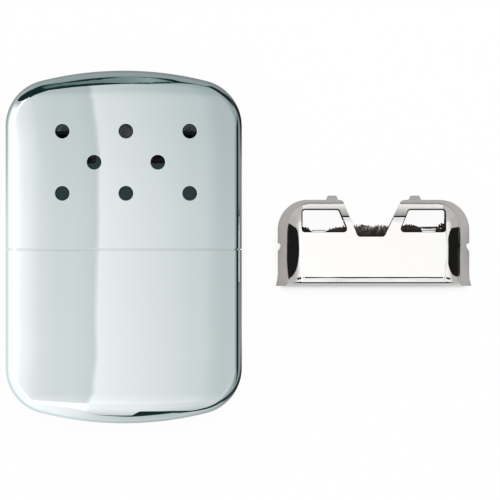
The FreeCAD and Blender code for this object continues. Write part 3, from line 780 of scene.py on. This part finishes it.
# ---- Burner shells ----
# Each burner is two like pressings of thin nickel-plated steel, joined flange to flange. A
# shallow pan stands up from the flange; it has a gap in the middle, a window each side of it
# and a flared lower lip that slides over the neck.
SHELL_SHEET = 0.295 * MM    # a hair under its size, so that the two shells don't share a plane
SHELL_LIP = 0.08 * MM
WINDOW_LIP = 0.22 * MM
SHELL_HEIGHT = 24.1 * MM
PAN_DEPTH = 4.1 * MM
FLANGE_HALF_WIDTH = 26.8 * MM
FLANGE_CORNER = 8.3 * MM
FLANGE_LEVEL = 0.3 * MM
PAN_HALF_WIDTH = 24.4 * MM
PAN_TOP = 23.4 * MM
PAN_SIDE_SLOPE = 3.6 * MM
PAN_TOP_SLOPE = 4.1 * MM
PAN_CORNERS = (7.2 * MM, 3.2 * MM)      # at the flange and at the face
ROOT_RADIUS = 0.7 * MM
CREST_RADIUS = (0.9 * MM, 8.0 * MM)     # the crest is tight half way up and loose at its ends
TOP_CREST_RADIUS = 2.6 * MM
CREST_MIDDLE = 10.6 * MM
CREST_AT_TOP = 0.75
PAST_FACE = 1.9                         # share of the slope where the pan's corner has run out
DENTS = (5 * MM, 0.10 * MM)             # length and depth of the wall's unevenness
CREASE_Y = 2.35 * MM
CREASE_DEPTH = 0.25 * MM
CREASE_HALF_WIDTH = 0.25 * MM
CREASE_BOW = (0.9 * MM, 1.2)            # how far it drops on the side walls, and where that stops
CREASE_WANDER = (4 * MM, 0.12 * MM)
CREASE_UNEVEN = (6 * MM, 0.5)
LIP_BOTTOM = 0.7 * MM
LIP_FLARE = 0.08 * MM
LIP_ROLL = 0.5 * MM
NICK_Y = 10.8 * MM
NICK_HEIGHT = 2.2 * MM
NICK_DEPTH = 0.75 * MM
EAR_X = (9.9 * MM, 13.3 * MM)
EAR_HEIGHT = 1.2 * MM
EAR_SLOPE = 0.5 * MM
NOTCH_HALF_WIDTHS = (3.85 * MM, 8.35 * MM)
NOTCH_BOTTOM = 13.8 * MM
NOTCH_SHIFTS = ((0.6 * MM, 0.32 * MM), (0.88 * MM, 0.52 * MM))      # left and right side, low and high
NOTCH_SHIFT_FADES = (0.3 * MM, 2.2 * MM)                            # past the notch's edges
WINDOW_Y = (15.2 * MM, 21.4 * MM)
WINDOW_OUTER = 20.0 * MM
WINDOW_INNER = (7.3 * MM, 9.8 * MM)     # at its lower edge and at its upper edge
WINDOW_CORNER = 0.8 * MM
TONGUE_X = 15.3 * MM
TONGUE_WIDTH = 3.8 * MM
TONGUE_RISE = 0.5 * MM
TONGUE_REACH = 2.6 * MM
TONGUE_BEND = 0.5 * MM
TONGUE_BEND_STEPS = 6
TONGUE_FOOT = 0.25 * MM     # how far it starts below the window
TONGUE_SUNK = 0.02 * MM     # under the pan's face
BURNER_PLACE = Vector((0, 8.3 * MM, 6.5 * MM))
SPARE_PLACE = Vector((69.9 * MM, -10.9 * MM, 4.4 * MM))
RIM_SPACING = 0.5 * MM
PAN_SPACING = 1.3 * MM
FLAT_FACE = 1.5             # shares of the slope past this lie on the pan's flat face
GUIDE_SPACING = 0.6 * MM
GUIDE_CLEARANCE = 0.22 * MM
GUIDE_FOOT = -2 * MM
GUIDE_SHARES = (-0.13, -0.06, 0.0, 0.05, 0.1, 0.16, 0.24, 0.4, 0.55, 0.66, 0.76, 0.85, 0.93, 1.0, 1.08, 1.17,
                1.28, 1.4)
FINE_BELOW = 4 * MM         # closer points, round the crease
CREASE_STEP = 0.08          # mm
OUTLINE_CLEARANCE = 0.15 * MM
WINDOW_CLEARANCE = 0.3 * MM


def smooth_step(value, start, end):
    """0 before the start and 1 past the end, with a soft rise between them."""
    share = min(max((value - start) / (end - start), 0.0), 1.0)
    return share * share * (3 - 2 * share)


def pan_share(x, y):
    """0 on the line where the pan leaves the flange and 1 where its wall would meet its face."""
    x = abs(x)
    share = min((PAN_HALF_WIDTH - x) / PAN_SIDE_SLOPE, (PAN_TOP - y) / PAN_TOP_SLOPE)
    corner, shrink = PAN_CORNERS[0], PAN_CORNERS[0] - PAN_CORNERS[1]
    turned = share
    for _ in range(10):
        centre_x = PAN_HALF_WIDTH - PAN_SIDE_SLOPE * turned - max(corner - shrink * turned, 0.0)
        centre_y = PAN_TOP - PAN_TOP_SLOPE * turned - max(corner - shrink * turned, 0.0)
        if x <= centre_x or y <= centre_y:
            return share
        turned = (corner - math.hypot(x - centre_x, y - centre_y)) / shrink
        if turned > PAST_FACE:
            return share
    return turned


def pan_height(x, y):
    """How high a shell's outside stands over the joint plane between the two shells."""
    slope_width = (PAN_SIDE_SLOPE + PAN_TOP_SLOPE) / 2
    dent = noise(Vector((x, y, 0)) / DENTS[0]) * DENTS[1]
    inward = pan_share(x, y) * slope_width + dent
    root_at = FLANGE_LEVEL * slope_width / PAN_DEPTH
    steep = math.atan2(PAN_DEPTH, slope_width)
    uneven = min(abs(y - CREST_MIDDLE) / CREST_MIDDLE, 1.0) if y < PAN_TOP - PAN_CORNERS[0] else CREST_AT_TOP
    crest_radius = CREST_RADIUS[0] + (CREST_RADIUS[1] - CREST_RADIUS[0]) * uneven ** 2
    if abs(x) < WINDOW_OUTER:
        crest_radius = TOP_CREST_RADIUS
    root_reach = ROOT_RADIUS * math.tan(steep / 2)
    crest_reach = crest_radius * math.tan(steep / 2)
    height = min(max(inward * PAN_DEPTH / slope_width, FLANGE_LEVEL), PAN_DEPTH)
    into_root = inward - root_at + root_reach
    if 0 < into_root < ROOT_RADIUS * math.sin(steep):
        height = FLANGE_LEVEL + ROOT_RADIUS - math.sqrt(ROOT_RADIUS ** 2 - into_root ** 2)
    to_crest = slope_width + crest_reach - inward
    if 0 < to_crest < crest_radius * math.sin(steep):
        height = PAN_DEPTH - crest_radius + math.sqrt(crest_radius ** 2 - to_crest ** 2)
    if y < CREASE_Y + 3 * CREASE_HALF_WIDTH:
        on_pan = min(max(inward / slope_width, 0.0), 1.0)
        bow = max(abs(x) - WINDOW_OUTER, 0.0) / PAN_SIDE_SLOPE
        wander = noise(Vector((x, 0, 1)) / CREASE_WANDER[0]) * CREASE_WANDER[1]
        crease = CREASE_Y - CREASE_BOW[0] * min(bow, CREASE_BOW[1]) + wander
        depth = CREASE_DEPTH * (1 + CREASE_UNEVEN[1] * noise(Vector((x, 5, 1)) / CREASE_UNEVEN[0]))
        height -= on_pan * depth * smooth_step(crease + CREASE_HALF_WIDTH - y, 0.0, 2 * CREASE_HALF_WIDTH)
        if y < crease:
            height += on_pan * LIP_FLARE * (crease - y) / (crease - LIP_BOTTOM)
        if y < LIP_BOTTOM + LIP_ROLL:
            height -= on_pan * (LIP_BOTTOM + LIP_ROLL - y) ** 2 / (1.2 * LIP_ROLL)
    return height


def rounded_loop(corners, spacing):
    """A closed outline with its corners rounded: each corner is x, y and a radius."""
    loop = []
    for i, (x, y, radius) in enumerate(corners):
        corner = Vector((x, y))
        before = (Vector(corners[i - 1][:2]) - corner).normalized()
        after = (Vector(corners[(i + 1) % len(corners)][:2]) - corner).normalized()
        if radius == 0:
            loop.append(corner)
            continue
        half = before.angle(after) / 2
        centre = corner + (before + after).normalized() * radius / math.sin(half)
        start = corner + before * radius / math.tan(half) - centre
        sweep = start.angle_signed(corner + after * radius / math.tan(half) - centre)
        steps = max(3, round(radius * abs(sweep) / spacing), round(abs(sweep) / 0.3))
        for k in range(steps + 1):
            turn = -sweep * k / steps
            c, s = math.cos(turn), math.sin(turn)
            loop.append(centre + Vector((start.x * c - start.y * s, start.x * s + start.y * c)))
    even = []
    for i, point in enumerate(loop):
        run = loop[(i + 1) % len(loop)] - point
        steps = max(1, math.ceil(run.length / spacing))
        even += [point + run * k / steps for k in range(steps)]
    return even


def drawn_in(loop, distance):
    """A loop that runs anticlockwise, moved inwards by a distance."""
    moved = []
    for i, point in enumerate(loop):
        before = (point - loop[i - 1]).normalized()
        after = (loop[(i + 1) % len(loop)] - point).normalized()
        inward = Vector((-before.y - after.y, before.x + after.x)).normalized()
        moved.append(point + inward * distance / max(inward.dot(Vector((-after.y, after.x))), 0.5))
    return moved


def both_sides(right):
    """Corners of an outline on the right, from the bottom up, and their mirror image."""
    return right + [(-x, y, radius) for x, y, radius in reversed(right)]


side, top = FLANGE_HALF_WIDTH, SHELL_HEIGHT
shell_outline = drawn_in(rounded_loop(both_sides([
    (PAN_HALF_WIDTH - 0.2 * MM, LIP_BOTTOM, 0), (PAN_HALF_WIDTH + 0.1 * MM, 0.1 * MM, 0.2 * MM),
    (side + 0.6 * MM, 0, 0.1 * MM), (side + 0.15 * MM, 1.8 * MM, 2 * MM), (side, 3.6 * MM, 2 * MM),
    (side, NICK_Y - NICK_HEIGHT / 2, 0.25 * MM), (side - NICK_DEPTH, NICK_Y, 0.3 * MM),
    (side - NICK_DEPTH, NICK_Y + NICK_HEIGHT / 2, 0.3 * MM), (side, NICK_Y + NICK_HEIGHT / 2, 0.2 * MM),
    (side, top, FLANGE_CORNER),
    (EAR_X[1], top, 0.3 * MM), (EAR_X[1] - EAR_SLOPE, top + EAR_HEIGHT, 0.3 * MM),
    (EAR_X[0] + EAR_SLOPE, top + EAR_HEIGHT, 0.3 * MM), (EAR_X[0], top, 0.2 * MM),
    (NOTCH_HALF_WIDTHS[1], top, 1.3 * MM), (NOTCH_HALF_WIDTHS[0], NOTCH_BOTTOM, 0.9 * MM),
]), RIM_SPACING), SHELL_LIP)
windows = [
    drawn_in(rounded_loop([
        (s * x, y, WINDOW_CORNER) for x, y in (
            (WINDOW_OUTER, WINDOW_Y[0]), (WINDOW_OUTER, WINDOW_Y[1]),
            (WINDOW_INNER[1], WINDOW_Y[1]), (WINDOW_INNER[0], WINDOW_Y[0]),
        )[::s]
    ], RIM_SPACING), -WINDOW_LIP)
    for s in (1, -1)
]


def on_sheet(spot, margin, window_margin):
    """Whether a point lies on the shell, clear of its outline and of its windows."""
    return within(spot, shell_outline) and clear_of(spot, shell_outline, margin) and not any(
        within(spot, w) or not clear_of(spot, w, window_margin) for w in windows
    )


def pan_line(share):
    """A guide line round the pan at one share of its slope, kept inside the shell's outline."""
    half_width = PAN_HALF_WIDTH - PAN_SIDE_SLOPE * share
    line_top = PAN_TOP - PAN_TOP_SLOPE * share
    corner = max(PAN_CORNERS[0] - (PAN_CORNERS[0] - PAN_CORNERS[1]) * share, 0.4 * MM)
    loop = rounded_loop([
        (half_width, GUIDE_FOOT, 0), (half_width, line_top, corner),
        (-half_width, line_top, corner), (-half_width, GUIDE_FOOT, 0),
    ], GUIDE_SPACING)
    lowest = [i for i, p in enumerate(loop) if p.x > 0 and p.y < 0.95 * GUIDE_FOOT][-1]
    loop = loop[lowest:] + loop[:lowest]
    runs, run = [], []
    for spot in loop:
        if on_sheet(spot, GUIDE_CLEARANCE, GUIDE_CLEARANCE):
            run.append(spot)
        elif run:
            runs.append(run)
            run = []
    return [r for r in runs + [run] if len(r) > 1]


guides = []
for share in GUIDE_SHARES:
    guides += pan_line(share)
crease_rows = [CREASE_Y + k * 2 * CREASE_STEP * MM for k in range(-8, -2)]
crease_rows += [CREASE_Y + k * CREASE_STEP * MM for k in range(-5, 7)]
lattice = []
for y in [LIP_BOTTOM + 0.3 * MM] + crease_rows + [k * PAN_SPACING for k in range(4, 19)]:
    spacing = RIM_SPACING if y < FINE_BELOW else PAN_SPACING
    count = round(2 * FLANGE_HALF_WIDTH / spacing)
    for i in range(count + 1):
        spot = Vector((FLANGE_HALF_WIDTH * (2 * i / count - 1), y))
        if on_sheet(spot, OUTLINE_CLEARANCE, WINDOW_CLEARANCE) \
                and (y < FINE_BELOW or pan_share(*spot) > FLAT_FACE):
            lattice.append(spot)
shell_flat, shell_faces, _ = triangulate(shell_outline, windows, guides, lattice)
shell_points = [Vector((p.x, p.y, pan_height(p.x, p.y))) for p in shell_flat]
shell_normals = [normal_of(pan_height, p.x, p.y) for p in shell_flat]


def off_centre(spot):
    """The notch was cut through both shells at once, a little to the left of the middle."""
    up = min(max((spot.y - NOTCH_BOTTOM) / (SHELL_HEIGHT - NOTCH_BOTTOM), 0.0), 1.0)
    edge = NOTCH_HALF_WIDTHS[0] + (NOTCH_HALF_WIDTHS[1] - NOTCH_HALF_WIDTHS[0]) * up
    left, right = (low + (high - low) * up for low, high in NOTCH_SHIFTS)
    shift = left + (right - left) * smooth_step(spot.x, -edge, edge)
    near, far = NOTCH_SHIFT_FADES
    shift *= 1 - smooth_step(abs(spot.x), edge + near, edge + far)
    shift *= smooth_step(spot.y, NOTCH_BOTTOM - far, NOTCH_BOTTOM - near)
    return Vector((spot.x - shift, spot.y, spot.z))


def burner_shell(name, front, foot):
    """One shell in its place. The back one is the same pressing, turned round."""
    turn = (lambda v: v) if front else (lambda v: Vector((-v.x, v.y, -v.z)))

    def place(vector, is_position):
        return off_centre(turn(vector)) + foot if is_position else turn(vector)

    return sheet_metal(name, shell_points, shell_normals, shell_faces, SHELL_SHEET, SHELL_LIP, place,
                       WINDOW_LIP)


def burner_tongues(name, front, foot):
    """The two strips left on the windows' lower edges and folded in over the mat."""
    bpy.ops.object.select_all(action="DESELECT")
    mesh = bpy.data.meshes.new(name)
    build = bmesh.new()
    bend_y = WINDOW_Y[0] + TONGUE_RISE - TONGUE_BEND
    top = PAN_DEPTH - TONGUE_SUNK
    path = [(WINDOW_Y[0] - TONGUE_FOOT, top)]
    for k in range(TONGUE_BEND_STEPS + 1):
        turn = math.pi / 2 * k / TONGUE_BEND_STEPS
        path.append((bend_y + TONGUE_BEND * math.sin(turn), top - TONGUE_BEND * (1 - math.cos(turn))))
    path.append((bend_y + TONGUE_BEND, PAN_DEPTH - TONGUE_REACH))
    for centre in (-TONGUE_X, TONGUE_X):
        rows = [
            [build.verts.new((centre + s * TONGUE_WIDTH / 2, y, z)) for s in (-1, -0.5, 0, 0.5, 1)]
            for y, z in path
        ]
        for low, high in zip(rows, rows[1:]):
            for k in range(4):
                build.faces.new((low[k], low[k + 1], high[k + 1], high[k]))
    build.to_mesh(mesh)
    build.free()
    piece = add_object(name, mesh)
    bpy.context.view_layer.objects.active = piece
    piece.select_set(True)
    wall = piece.modifiers.new("sheet", "SOLIDIFY")
    wall.thickness, wall.offset = SHELL_SHEET, -1.0
    bpy.ops.object.modifier_apply(modifier="sheet")
    soft = piece.modifiers.new("edges", "BEVEL")
    soft.width, soft.segments, soft.limit_method, soft.angle_limit = SHELL_LIP, 3, "ANGLE", math.radians(50)
    bpy.ops.object.modifier_apply(modifier="edges")
    for vertex in mesh.vertices:
        x, y, z = vertex.co
        vertex.co = Vector((x, y, z) if front else (-x, y, -z)) + foot
    bpy.ops.object.shade_smooth_by_angle(angle=math.radians(40))
    return piece


# Bright nickel over steel, warmer than chrome, and polished by hand: the thin sheet is wavy.
# The flange was gripped by the die and never polished, so it is a satin grey.
PAN_NICKEL, FLANGE_NICKEL = "#F5F3F1", "#B4AEAB"
SATIN = 0.42
SATIN_ENDS = (FLANGE_LEVEL + 0.03 * MM, FLANGE_LEVEL + 0.12 * MM)
HEAT_DULLS_BY = 0.16
HEAT_BY_HEIGHT = [(0.0, 0.0), (2.5 * MM, 0.1875), (5 * MM, 0.75)]
PATCHY_HEAT = 0.25


def shell_material(name, foot, tint=None):
    """Polished nickel on the pan and satin nickel on the flange, split where the pan starts."""
    material, tree, place = new_material(name)
    at = add_node(tree, "VectorMath", [place, -foot], operation="ADD")
    at = add_node(tree, "SeparateXYZ", [at])
    height = add_node(tree, "Math", [at["Z"]], operation="ABSOLUTE")
    on_flange = graph(tree, height, [(0.0, 1.0), (SATIN_ENDS[0], 1.0), (SATIN_ENDS[1], 0.0)])
    rough = add_node(tree, "Mix", {0: on_flange, 2: bloom(tree, place, 4 * MM, 0.02, 0.06), 3: SATIN})
    if tint:
        high = graph(tree, at["Y"], HEAT_BY_HEIGHT)
        patch = add_node(tree, "TexNoise", {
            "Vector": place, "Scale": 1 / (6 * MM), "Detail": 3.0, "Roughness": 0.5,
        })
        heat = add_node(tree, "Math", [patch, PATCHY_HEAT, high], operation="MULTIPLY_ADD")
        colour = add_node(tree, "ValToRGB", [heat], [(share, hex_colour(code)) for share, code in tint])
        rough = add_node(tree, "Math", [rough, HEAT_DULLS_BY], operation="ADD")
    else:
        colour = add_node(tree, "Mix", {
            0: on_flange, 6: hex_colour(PAN_NICKEL), 7: hex_colour(FLANGE_NICKEL),
        }, data_type="RGBA")[2]
    surface = add_node(tree, "BsdfPrincipled", {
        "Base Color": colour, "Metallic": 1.0, "Roughness": rough,
        "Normal": waves(tree, place, 3.5 * MM, 0.012 * MM, 2.0),
    })
    add_node(tree, "OutputMaterial", {"Surface": surface})
    return material


bright_shell = shell_material("bright nickel plate", SPARE_PLACE)

# The fitted burner has been run: heat has tinted its plate straw at the foot and then brown
# to slate where the mat glows.
tinted_shell = shell_material("nickel plate tinted by heat", BURNER_PLACE, [
    (0.0, "#E9DFCB"), (0.25, "#B08D5A"), (0.5, "#4C4844"), (0.8, "#2C393B"),
])

# The windows were punched after the plating, so their edges are bare steel. They are coloured near black as
# painted shade, for the cut edge in shadow.
edge_painted_dark = metal("bare punched edge", "#2E2A28", (0.6 * MM, 0.35, 0.55), (0.3 * MM, 0.004 * MM, 2.0))

for burner, foot, plating in (
    ("burner", BURNER_PLACE, tinted_shell), ("spare_burner", SPARE_PLACE, bright_shell),
):
    for side_name, front in (("front", True), ("back", False)):
        shell = burner_shell(f"{burner}_{side_name}_pressing", front, foot)
        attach(shell, burner)
        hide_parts(f"{burner}_{side_name}_shell")
        # The third material, on the windows' edges, is painted shade.
        for coat in (plating, plating, edge_painted_dark):
            shell.data.materials.append(coat)
        tongues = burner_tongues(f"{burner}_{side_name}_tongues", front, foot)
        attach(tongues, burner)
        tongues.data.materials.append(plating)


# ---- Catalyst mats ----
# A pad of glass wool dipped in platinum salt, which burns dark brown and grey. It lies in the
# tray behind the windows, with its upper edge teased out in tufts.
TUFT_COUNT = 600
TUFT_LENGTH = (0.2 * MM, 0.8 * MM)      # in the notch, above a root that is sunk in the pad
TUFT_ROOT = 0.6 * MM
TUFT_WIDTH = (0.28 * MM, 0.62 * MM)     # a bundle of fibres: single ones are far too fine to see
TUFT_SINKS = (0.3, 1.6)                 # mm below the mat's edge
TUFT_SHADES = (0.1, 0.25, 0.4, 0.6, 0.85, 1.0)
TUFT_LEAN = 0.3
WINDOW_TUFTS = 0.55                     # length behind the windows, as a share of the notch's
TONGUE_TUFTS = 0.4
TONGUE_TUFTS_REACH = 2.8 * MM
TUFT_SECTIONS = ((0.0, 0.8), (0.6, 1.0), (0.9, 0.75))       # share of the length, and of the width
THIRD_OF_A_TURN = 2.094
STRAND_COUNT = 9
STRAND_LENGTH = 6 * MM
STRAND_SHADE = 0.2
MAT_HALF_LENGTH = 20.1 * MM
MAT_TOP = 16.05 * MM
MAT_HALF_DEPTH = 3.3 * MM
MAT_STRETCH = 1.4 * MM
MAT_RAGGED = (1.1 * MM, 0.35 * MM)      # length and height of the lumps along its edge
MAT_LUMP = 0.9 * MM
# Painted shade: the fibres go darker down to this depth below the mat's edge, and behind the windows they
# are darker still.
PAINTED_SHADE_DEPTH = 2.4 * MM              # the fibres go darker down to here
PAINTED_SHADE_BEHIND_WINDOWS = 0.3                    # how light the fibres are there, as a share of the notch's
# Each pair is for the left side and for the right, where the mat was laid in higher.
RAISED_IN_NOTCH = 0.3 * MM
RAISED_BESIDE_NOTCH = (0.15, 0.75)
RAISED_AT_END = (0.4, 0.3)
TONGUE_PRESSES = (1.5 * MM, 1.9 * MM)
TONGUE_PRESS_WIDTH = (3.2 * MM, 2.6 * MM)
TONGUE_PRESS_POWER = (2, 4)


def soft_copy(node, name, voxel, waves_deep, wave_length, seed):
    """A soft piece from a CAD solid: remeshed evenly and pushed inwards in soft lumps."""
    bpy.ops.object.select_all(action="DESELECT")
    piece = add_object(name, nodes[node].data.copy())
    piece.data.materials.clear()
    bpy.context.view_layer.objects.active = piece
    piece.select_set(True)
    bpy.ops.object.mode_set(mode="EDIT")
    bpy.ops.mesh.select_all(action="SELECT")
    bpy.ops.mesh.remove_doubles(threshold=0.001 * MM)
    bpy.ops.object.mode_set(mode="OBJECT")
    piece.data.remesh_voxel_size = voxel
    bpy.ops.object.voxel_remesh()
    mesh = piece.data
    offset = Vector((seed, seed * 3.1, 0))
    normals = [v.normal.copy() for v in mesh.vertices]
    for vertex, normal in zip(mesh.vertices, normals):
        lump = noise(vertex.co / wave_length + offset)
        lump += 0.5 * noise(vertex.co / (wave_length * 0.4) + offset)
        vertex.co -= normal * waves_deep * (0.5 + 0.5 * lump)
    mesh.shade_smooth()
    return piece


def mat_edge(x):
    """How high the mat's upper edge stands over the burner's foot at one place."""
    side = int(x > 0)
    past_notch = smooth_step(abs(x), 7.5 * MM, 9.5 * MM)
    at_end = smooth_step(abs(x), 16.5 * MM, 19.5 * MM)
    raised = (RAISED_BESIDE_NOTCH[side] * past_notch + RAISED_AT_END[side] * at_end) * MM
    off_tongue = (abs(x) - TONGUE_X) / TONGUE_PRESS_WIDTH[side]
    pressed = TONGUE_PRESSES[side] * math.exp(-off_tongue ** TONGUE_PRESS_POWER[side])
    return MAT_TOP + RAISED_IN_NOTCH * (1 - past_notch) + raised - pressed


def tuft(build, tone, base, lean, length, bend, thick, turn, shade):
    """One little bundle of fibre: a bent three-sided spindle with a point."""
    side = lean.orthogonal().normalized()
    other = lean.cross(side)
    rings = []
    for share, width in TUFT_SECTIONS:
        middle = base + lean * length * share + bend * share ** 2
        ring = []
        for k in range(3):
            angle = turn + k * THIRD_OF_A_TURN
            out = side * math.cos(angle) + other * math.sin(angle)
            ring.append(build.verts.new(middle + out * thick * width / 2))
        rings.append(ring)
    tip = build.verts.new(base + lean * length + bend)
    faces = [build.faces.new(rings[0][::-1])]
    for k in range(3):
        j = (k + 1) % 3
        for lower, upper in zip(rings, rings[1:]):
            faces.append(build.faces.new((lower[k], lower[j], upper[j], upper[k])))
        faces.append(build.faces.new((rings[-1][k], rings[-1][j], tip)))
    for face in faces:
        face.smooth = True
        for loop in face.loops:
            loop[tone] = (shade, shade, shade, 1)


def tufts(piece, foot, seed):
    """Shapes the mat's upper edge and adds little bundles of fibre that stand up from it."""
    draw = random.Random(seed)
    build = bmesh.new()
    build.from_mesh(piece.data)
    tone = build.loops.layers.float_color.new("tone")
    stretch = MAT_HALF_LENGTH / max(abs(vertex.co.x - foot.x) for vertex in build.verts)
    for vertex in build.verts:
        vertex.co.x = foot.x + (vertex.co.x - foot.x) * stretch
        ragged = noise(vertex.co / MAT_RAGGED[0]) * MAT_RAGGED[1]
        highest = foot.y + mat_edge(vertex.co.x - foot.x) + ragged
        stretched = vertex.co.y + MAT_STRETCH * smooth_step(vertex.co.y - foot.y, 14 * MM, 16.2 * MM)
        vertex.co.y = min(stretched, highest)
    for face in build.faces:
        # Painted shade: the tone is random lumps, darker with depth below the mat's edge and darker still
        # behind the windows.
        for loop in face.loops:
            depth = foot.y + MAT_TOP - loop.vert.co.y
            lump = min(max(0.5 + 0.9 * noise(loop.vert.co / MAT_LUMP), 0.0), 1.0)
            level = (0.05 + 0.55 * lump) * min(max(1 - depth / PAINTED_SHADE_DEPTH, 0.0), 1.0)
            if abs(loop.vert.co.x - foot.x) > NOTCH_HALF_WIDTHS[1]:
                level *= PAINTED_SHADE_BEHIND_WINDOWS
            loop[tone] = (level, level, level, 1)
    for _ in range(TUFT_COUNT):
        x = draw.uniform(-MAT_HALF_LENGTH, MAT_HALF_LENGTH) * 0.985
        z = draw.uniform(-MAT_HALF_DEPTH, MAT_HALF_DEPTH)
        in_notch = abs(x) < NOTCH_HALF_WIDTHS[1]
        lean = Vector((draw.gauss(0, TUFT_LEAN), 1.0, draw.gauss(0, TUFT_LEAN))).normalized()
        length = draw.uniform(*TUFT_LENGTH) * (1.0 if in_notch else WINDOW_TUFTS)
        if abs(abs(x) - TONGUE_X) < TONGUE_TUFTS_REACH:
            length *= TONGUE_TUFTS
        base = Vector((x, mat_edge(x) - draw.uniform(*TUFT_SINKS) * MM, z)) + foot
        bend = Vector((draw.gauss(0, TUFT_LEAN), 0, draw.gauss(0, TUFT_LEAN))) * length
        # Painted shade: tufts behind the windows are darker.
        shade = draw.choice(TUFT_SHADES) * (1.0 if in_notch else PAINTED_SHADE_BEHIND_WINDOWS)
        tuft(build, tone, base, lean, length + TUFT_ROOT, bend, draw.uniform(*TUFT_WIDTH),
             draw.uniform(0, 2 * math.pi), shade)
    for _ in range(STRAND_COUNT):       # strands that were left lying across the right tongue
        base = Vector((TONGUE_X - draw.uniform(2.7, 3.3) * MM, MAT_TOP + draw.uniform(0.1, 0.5) * MM,
                       draw.uniform(0.3, 0.95) * MAT_HALF_DEPTH)) + foot
        sag = Vector((0, draw.uniform(0.0, 0.3) * MM, 0))
        lean = Vector((1, draw.gauss(-0.03, 0.03), 0)).normalized()
        tuft(build, tone, base, lean, STRAND_LENGTH, sag, draw.uniform(0.14, 0.3) * MM,
             draw.uniform(0, 2 * math.pi), STRAND_SHADE)
    build.to_mesh(piece.data)
    build.free()


# Glass fibre is clear, but the platinum black on it is not: brown-black, going grey where the fibres are
# lighter. Being lighter at the mat's edge and darker deeper in and behind the windows is painted shade.
FIBRE = ((0.0, "#0D0A09"), (0.35, "#453C38"), (1.0, "#C9C1BB"))
FLECK = 0.5 * MM
FLECK_SHADE = (0.4, -0.22)      # how much lighter a fleck is, and how much darker all the rest
fibre, tree, place = new_material("platinised glass wool")
# The tone attribute holds the fibre's random light and dark bits with painted shade on them.
tone = add_node(tree, "Attribute", attribute_name="tone")["Fac"]
fleck = add_node(tree, "TexNoise", {
    "Vector": place, "Scale": 1 / FLECK, "Detail": 3.0, "Roughness": 0.7,
})
fleck = add_node(tree, "Math", [fleck, *FLECK_SHADE], operation="MULTIPLY_ADD")
mixed = add_node(tree, "Math", [tone, fleck], operation="ADD")
surface = add_node(tree, "BsdfPrincipled", {
    "Base Color": add_node(tree, "ValToRGB", [mixed], [(share, hex_colour(code)) for share, code in FIBRE]),
    "Roughness": 0.85, "Normal": waves(tree, place, 0.35 * MM, 0.08 * MM, 4.0),
})
add_node(tree, "OutputMaterial", {"Surface": surface})

for burner, foot, seed in (("burner", BURNER_PLACE, 3), ("spare_burner", SPARE_PLACE, 8)):
    mat = soft_copy(f"{burner}_catalyst_mat", f"{burner}_wool", 0.35 * MM, 0.35 * MM, 1.6 * MM, seed)
    tufts(mat, foot, seed)
    mat.data.materials.append(fibre)
    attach(mat, burner)
    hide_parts(f"{burner}_catalyst_mat")


# ---- Mat trays and wadding grille ----
# Folded and punched from plain steel strip: bright but not polished, with the marks of the
# rolling mill along it.
MILL_MARK = 0.25 * MM
MILL_MARK_DEPTH = 0.004 * MM
MILL_MARK_STRETCH = 20


def mill_steel(name, colour):
    """Rolled steel of one colour, with fine marks along the strip."""
    material, tree, place = new_material(name)
    stretched = add_node(tree, "Mapping", {"Vector": place, "Scale": (1 / MILL_MARK_STRETCH, 1.0, 1.0)})
    marks = add_node(tree, "TexNoise", {
        "Vector": stretched, "Scale": 1 / MILL_MARK, "Detail": 3.0, "Roughness": 0.6,
    })
    surface = add_node(tree, "BsdfPrincipled", {
        "Base Color": hex_colour(colour), "Metallic": 1.0,
        "Roughness": add_node(tree, "MapRange", [marks, 0.0, 1.0, 0.22, 0.42]),
        "Normal": add_node(tree, "Bump", {"Height": marks, "Strength": 1.0, "Distance": MILL_MARK_DEPTH}),
    })
    add_node(tree, "OutputMaterial", {"Surface": surface})
    return material


tray_steel = mill_steel("mill-finish steel strip", "#B9B6B2")
heated_steel = mill_steel("steel strip gone slate from heat", "#5A6C6C")
for name, steel in (("burner_mat_tray", heated_steel), ("spare_burner_mat_tray", tray_steel),
                    ("wadding_grille", tray_steel)):
    nodes[name].data.materials.clear()
    nodes[name].data.materials.append(steel)


# ---- Felt and cotton in the tank ----
# White wool felt lies under the grille, and loose cotton fills the tank and holds the fuel.
def wool(name, dark, light, clump, depth):
    """Matted fibre in two colours, darker in the hollows of the clumps and lighter on their crests: partly
    the wool's own uneven colour, partly painted shade; with a soft sheen.
    """
    material, tree, place = new_material(name)
    fluff = add_node(tree, "TexNoise", {
        "Vector": place, "Scale": 1 / clump, "Detail": 6.0, "Roughness": 0.7,
    })
    colour = add_node(tree, "ValToRGB", [fluff], [(0.3, hex_colour(dark)), (0.65, hex_colour(light))])
    surface = add_node(tree, "BsdfPrincipled", {
        "Base Color": colour, "Roughness": 0.95, "Sheen Weight": 0.3,
        "Normal": waves(tree, place, clump, depth, 6.0),
    })
    add_node(tree, "OutputMaterial", {"Surface": surface})
    return material


felt = soft_copy("wick_felt", "felt_pad", 0.25 * MM, 0.08 * MM, 0.8 * MM, 1)
felt.data.materials.append(wool("pressed wool felt", "#CFCABD", "#F1EEE4", 0.5 * MM, 0.10 * MM))
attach(felt, "tank")
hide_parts("wick_felt")

cotton = soft_copy("cotton_wadding", "cotton_fill", 0.9 * MM, 0.9 * MM, 5 * MM, 2)
cotton.data.materials.append(wool("loose cotton", "#E2DFD6", "#FAF8F2", 1.5 * MM, 0.4 * MM))
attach(cotton, "tank")
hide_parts("cotton_wadding")


# ---- Collar, deck and neck ----
# One deep drawing in nickel-plated steel, pressed into the tank's mouth. The upper case slides
# down over its rounded deck, and the burner pushes onto its oval neck.
collar_nickel = metal("nickel plate on drawn steel", "#E4E1DC", (5 * MM, 0.06, 0.16), (6 * MM, 0.01 * MM))
nodes["tank_collar"].data.materials.clear()
nodes["tank_collar"].data.materials.append(collar_nickel)
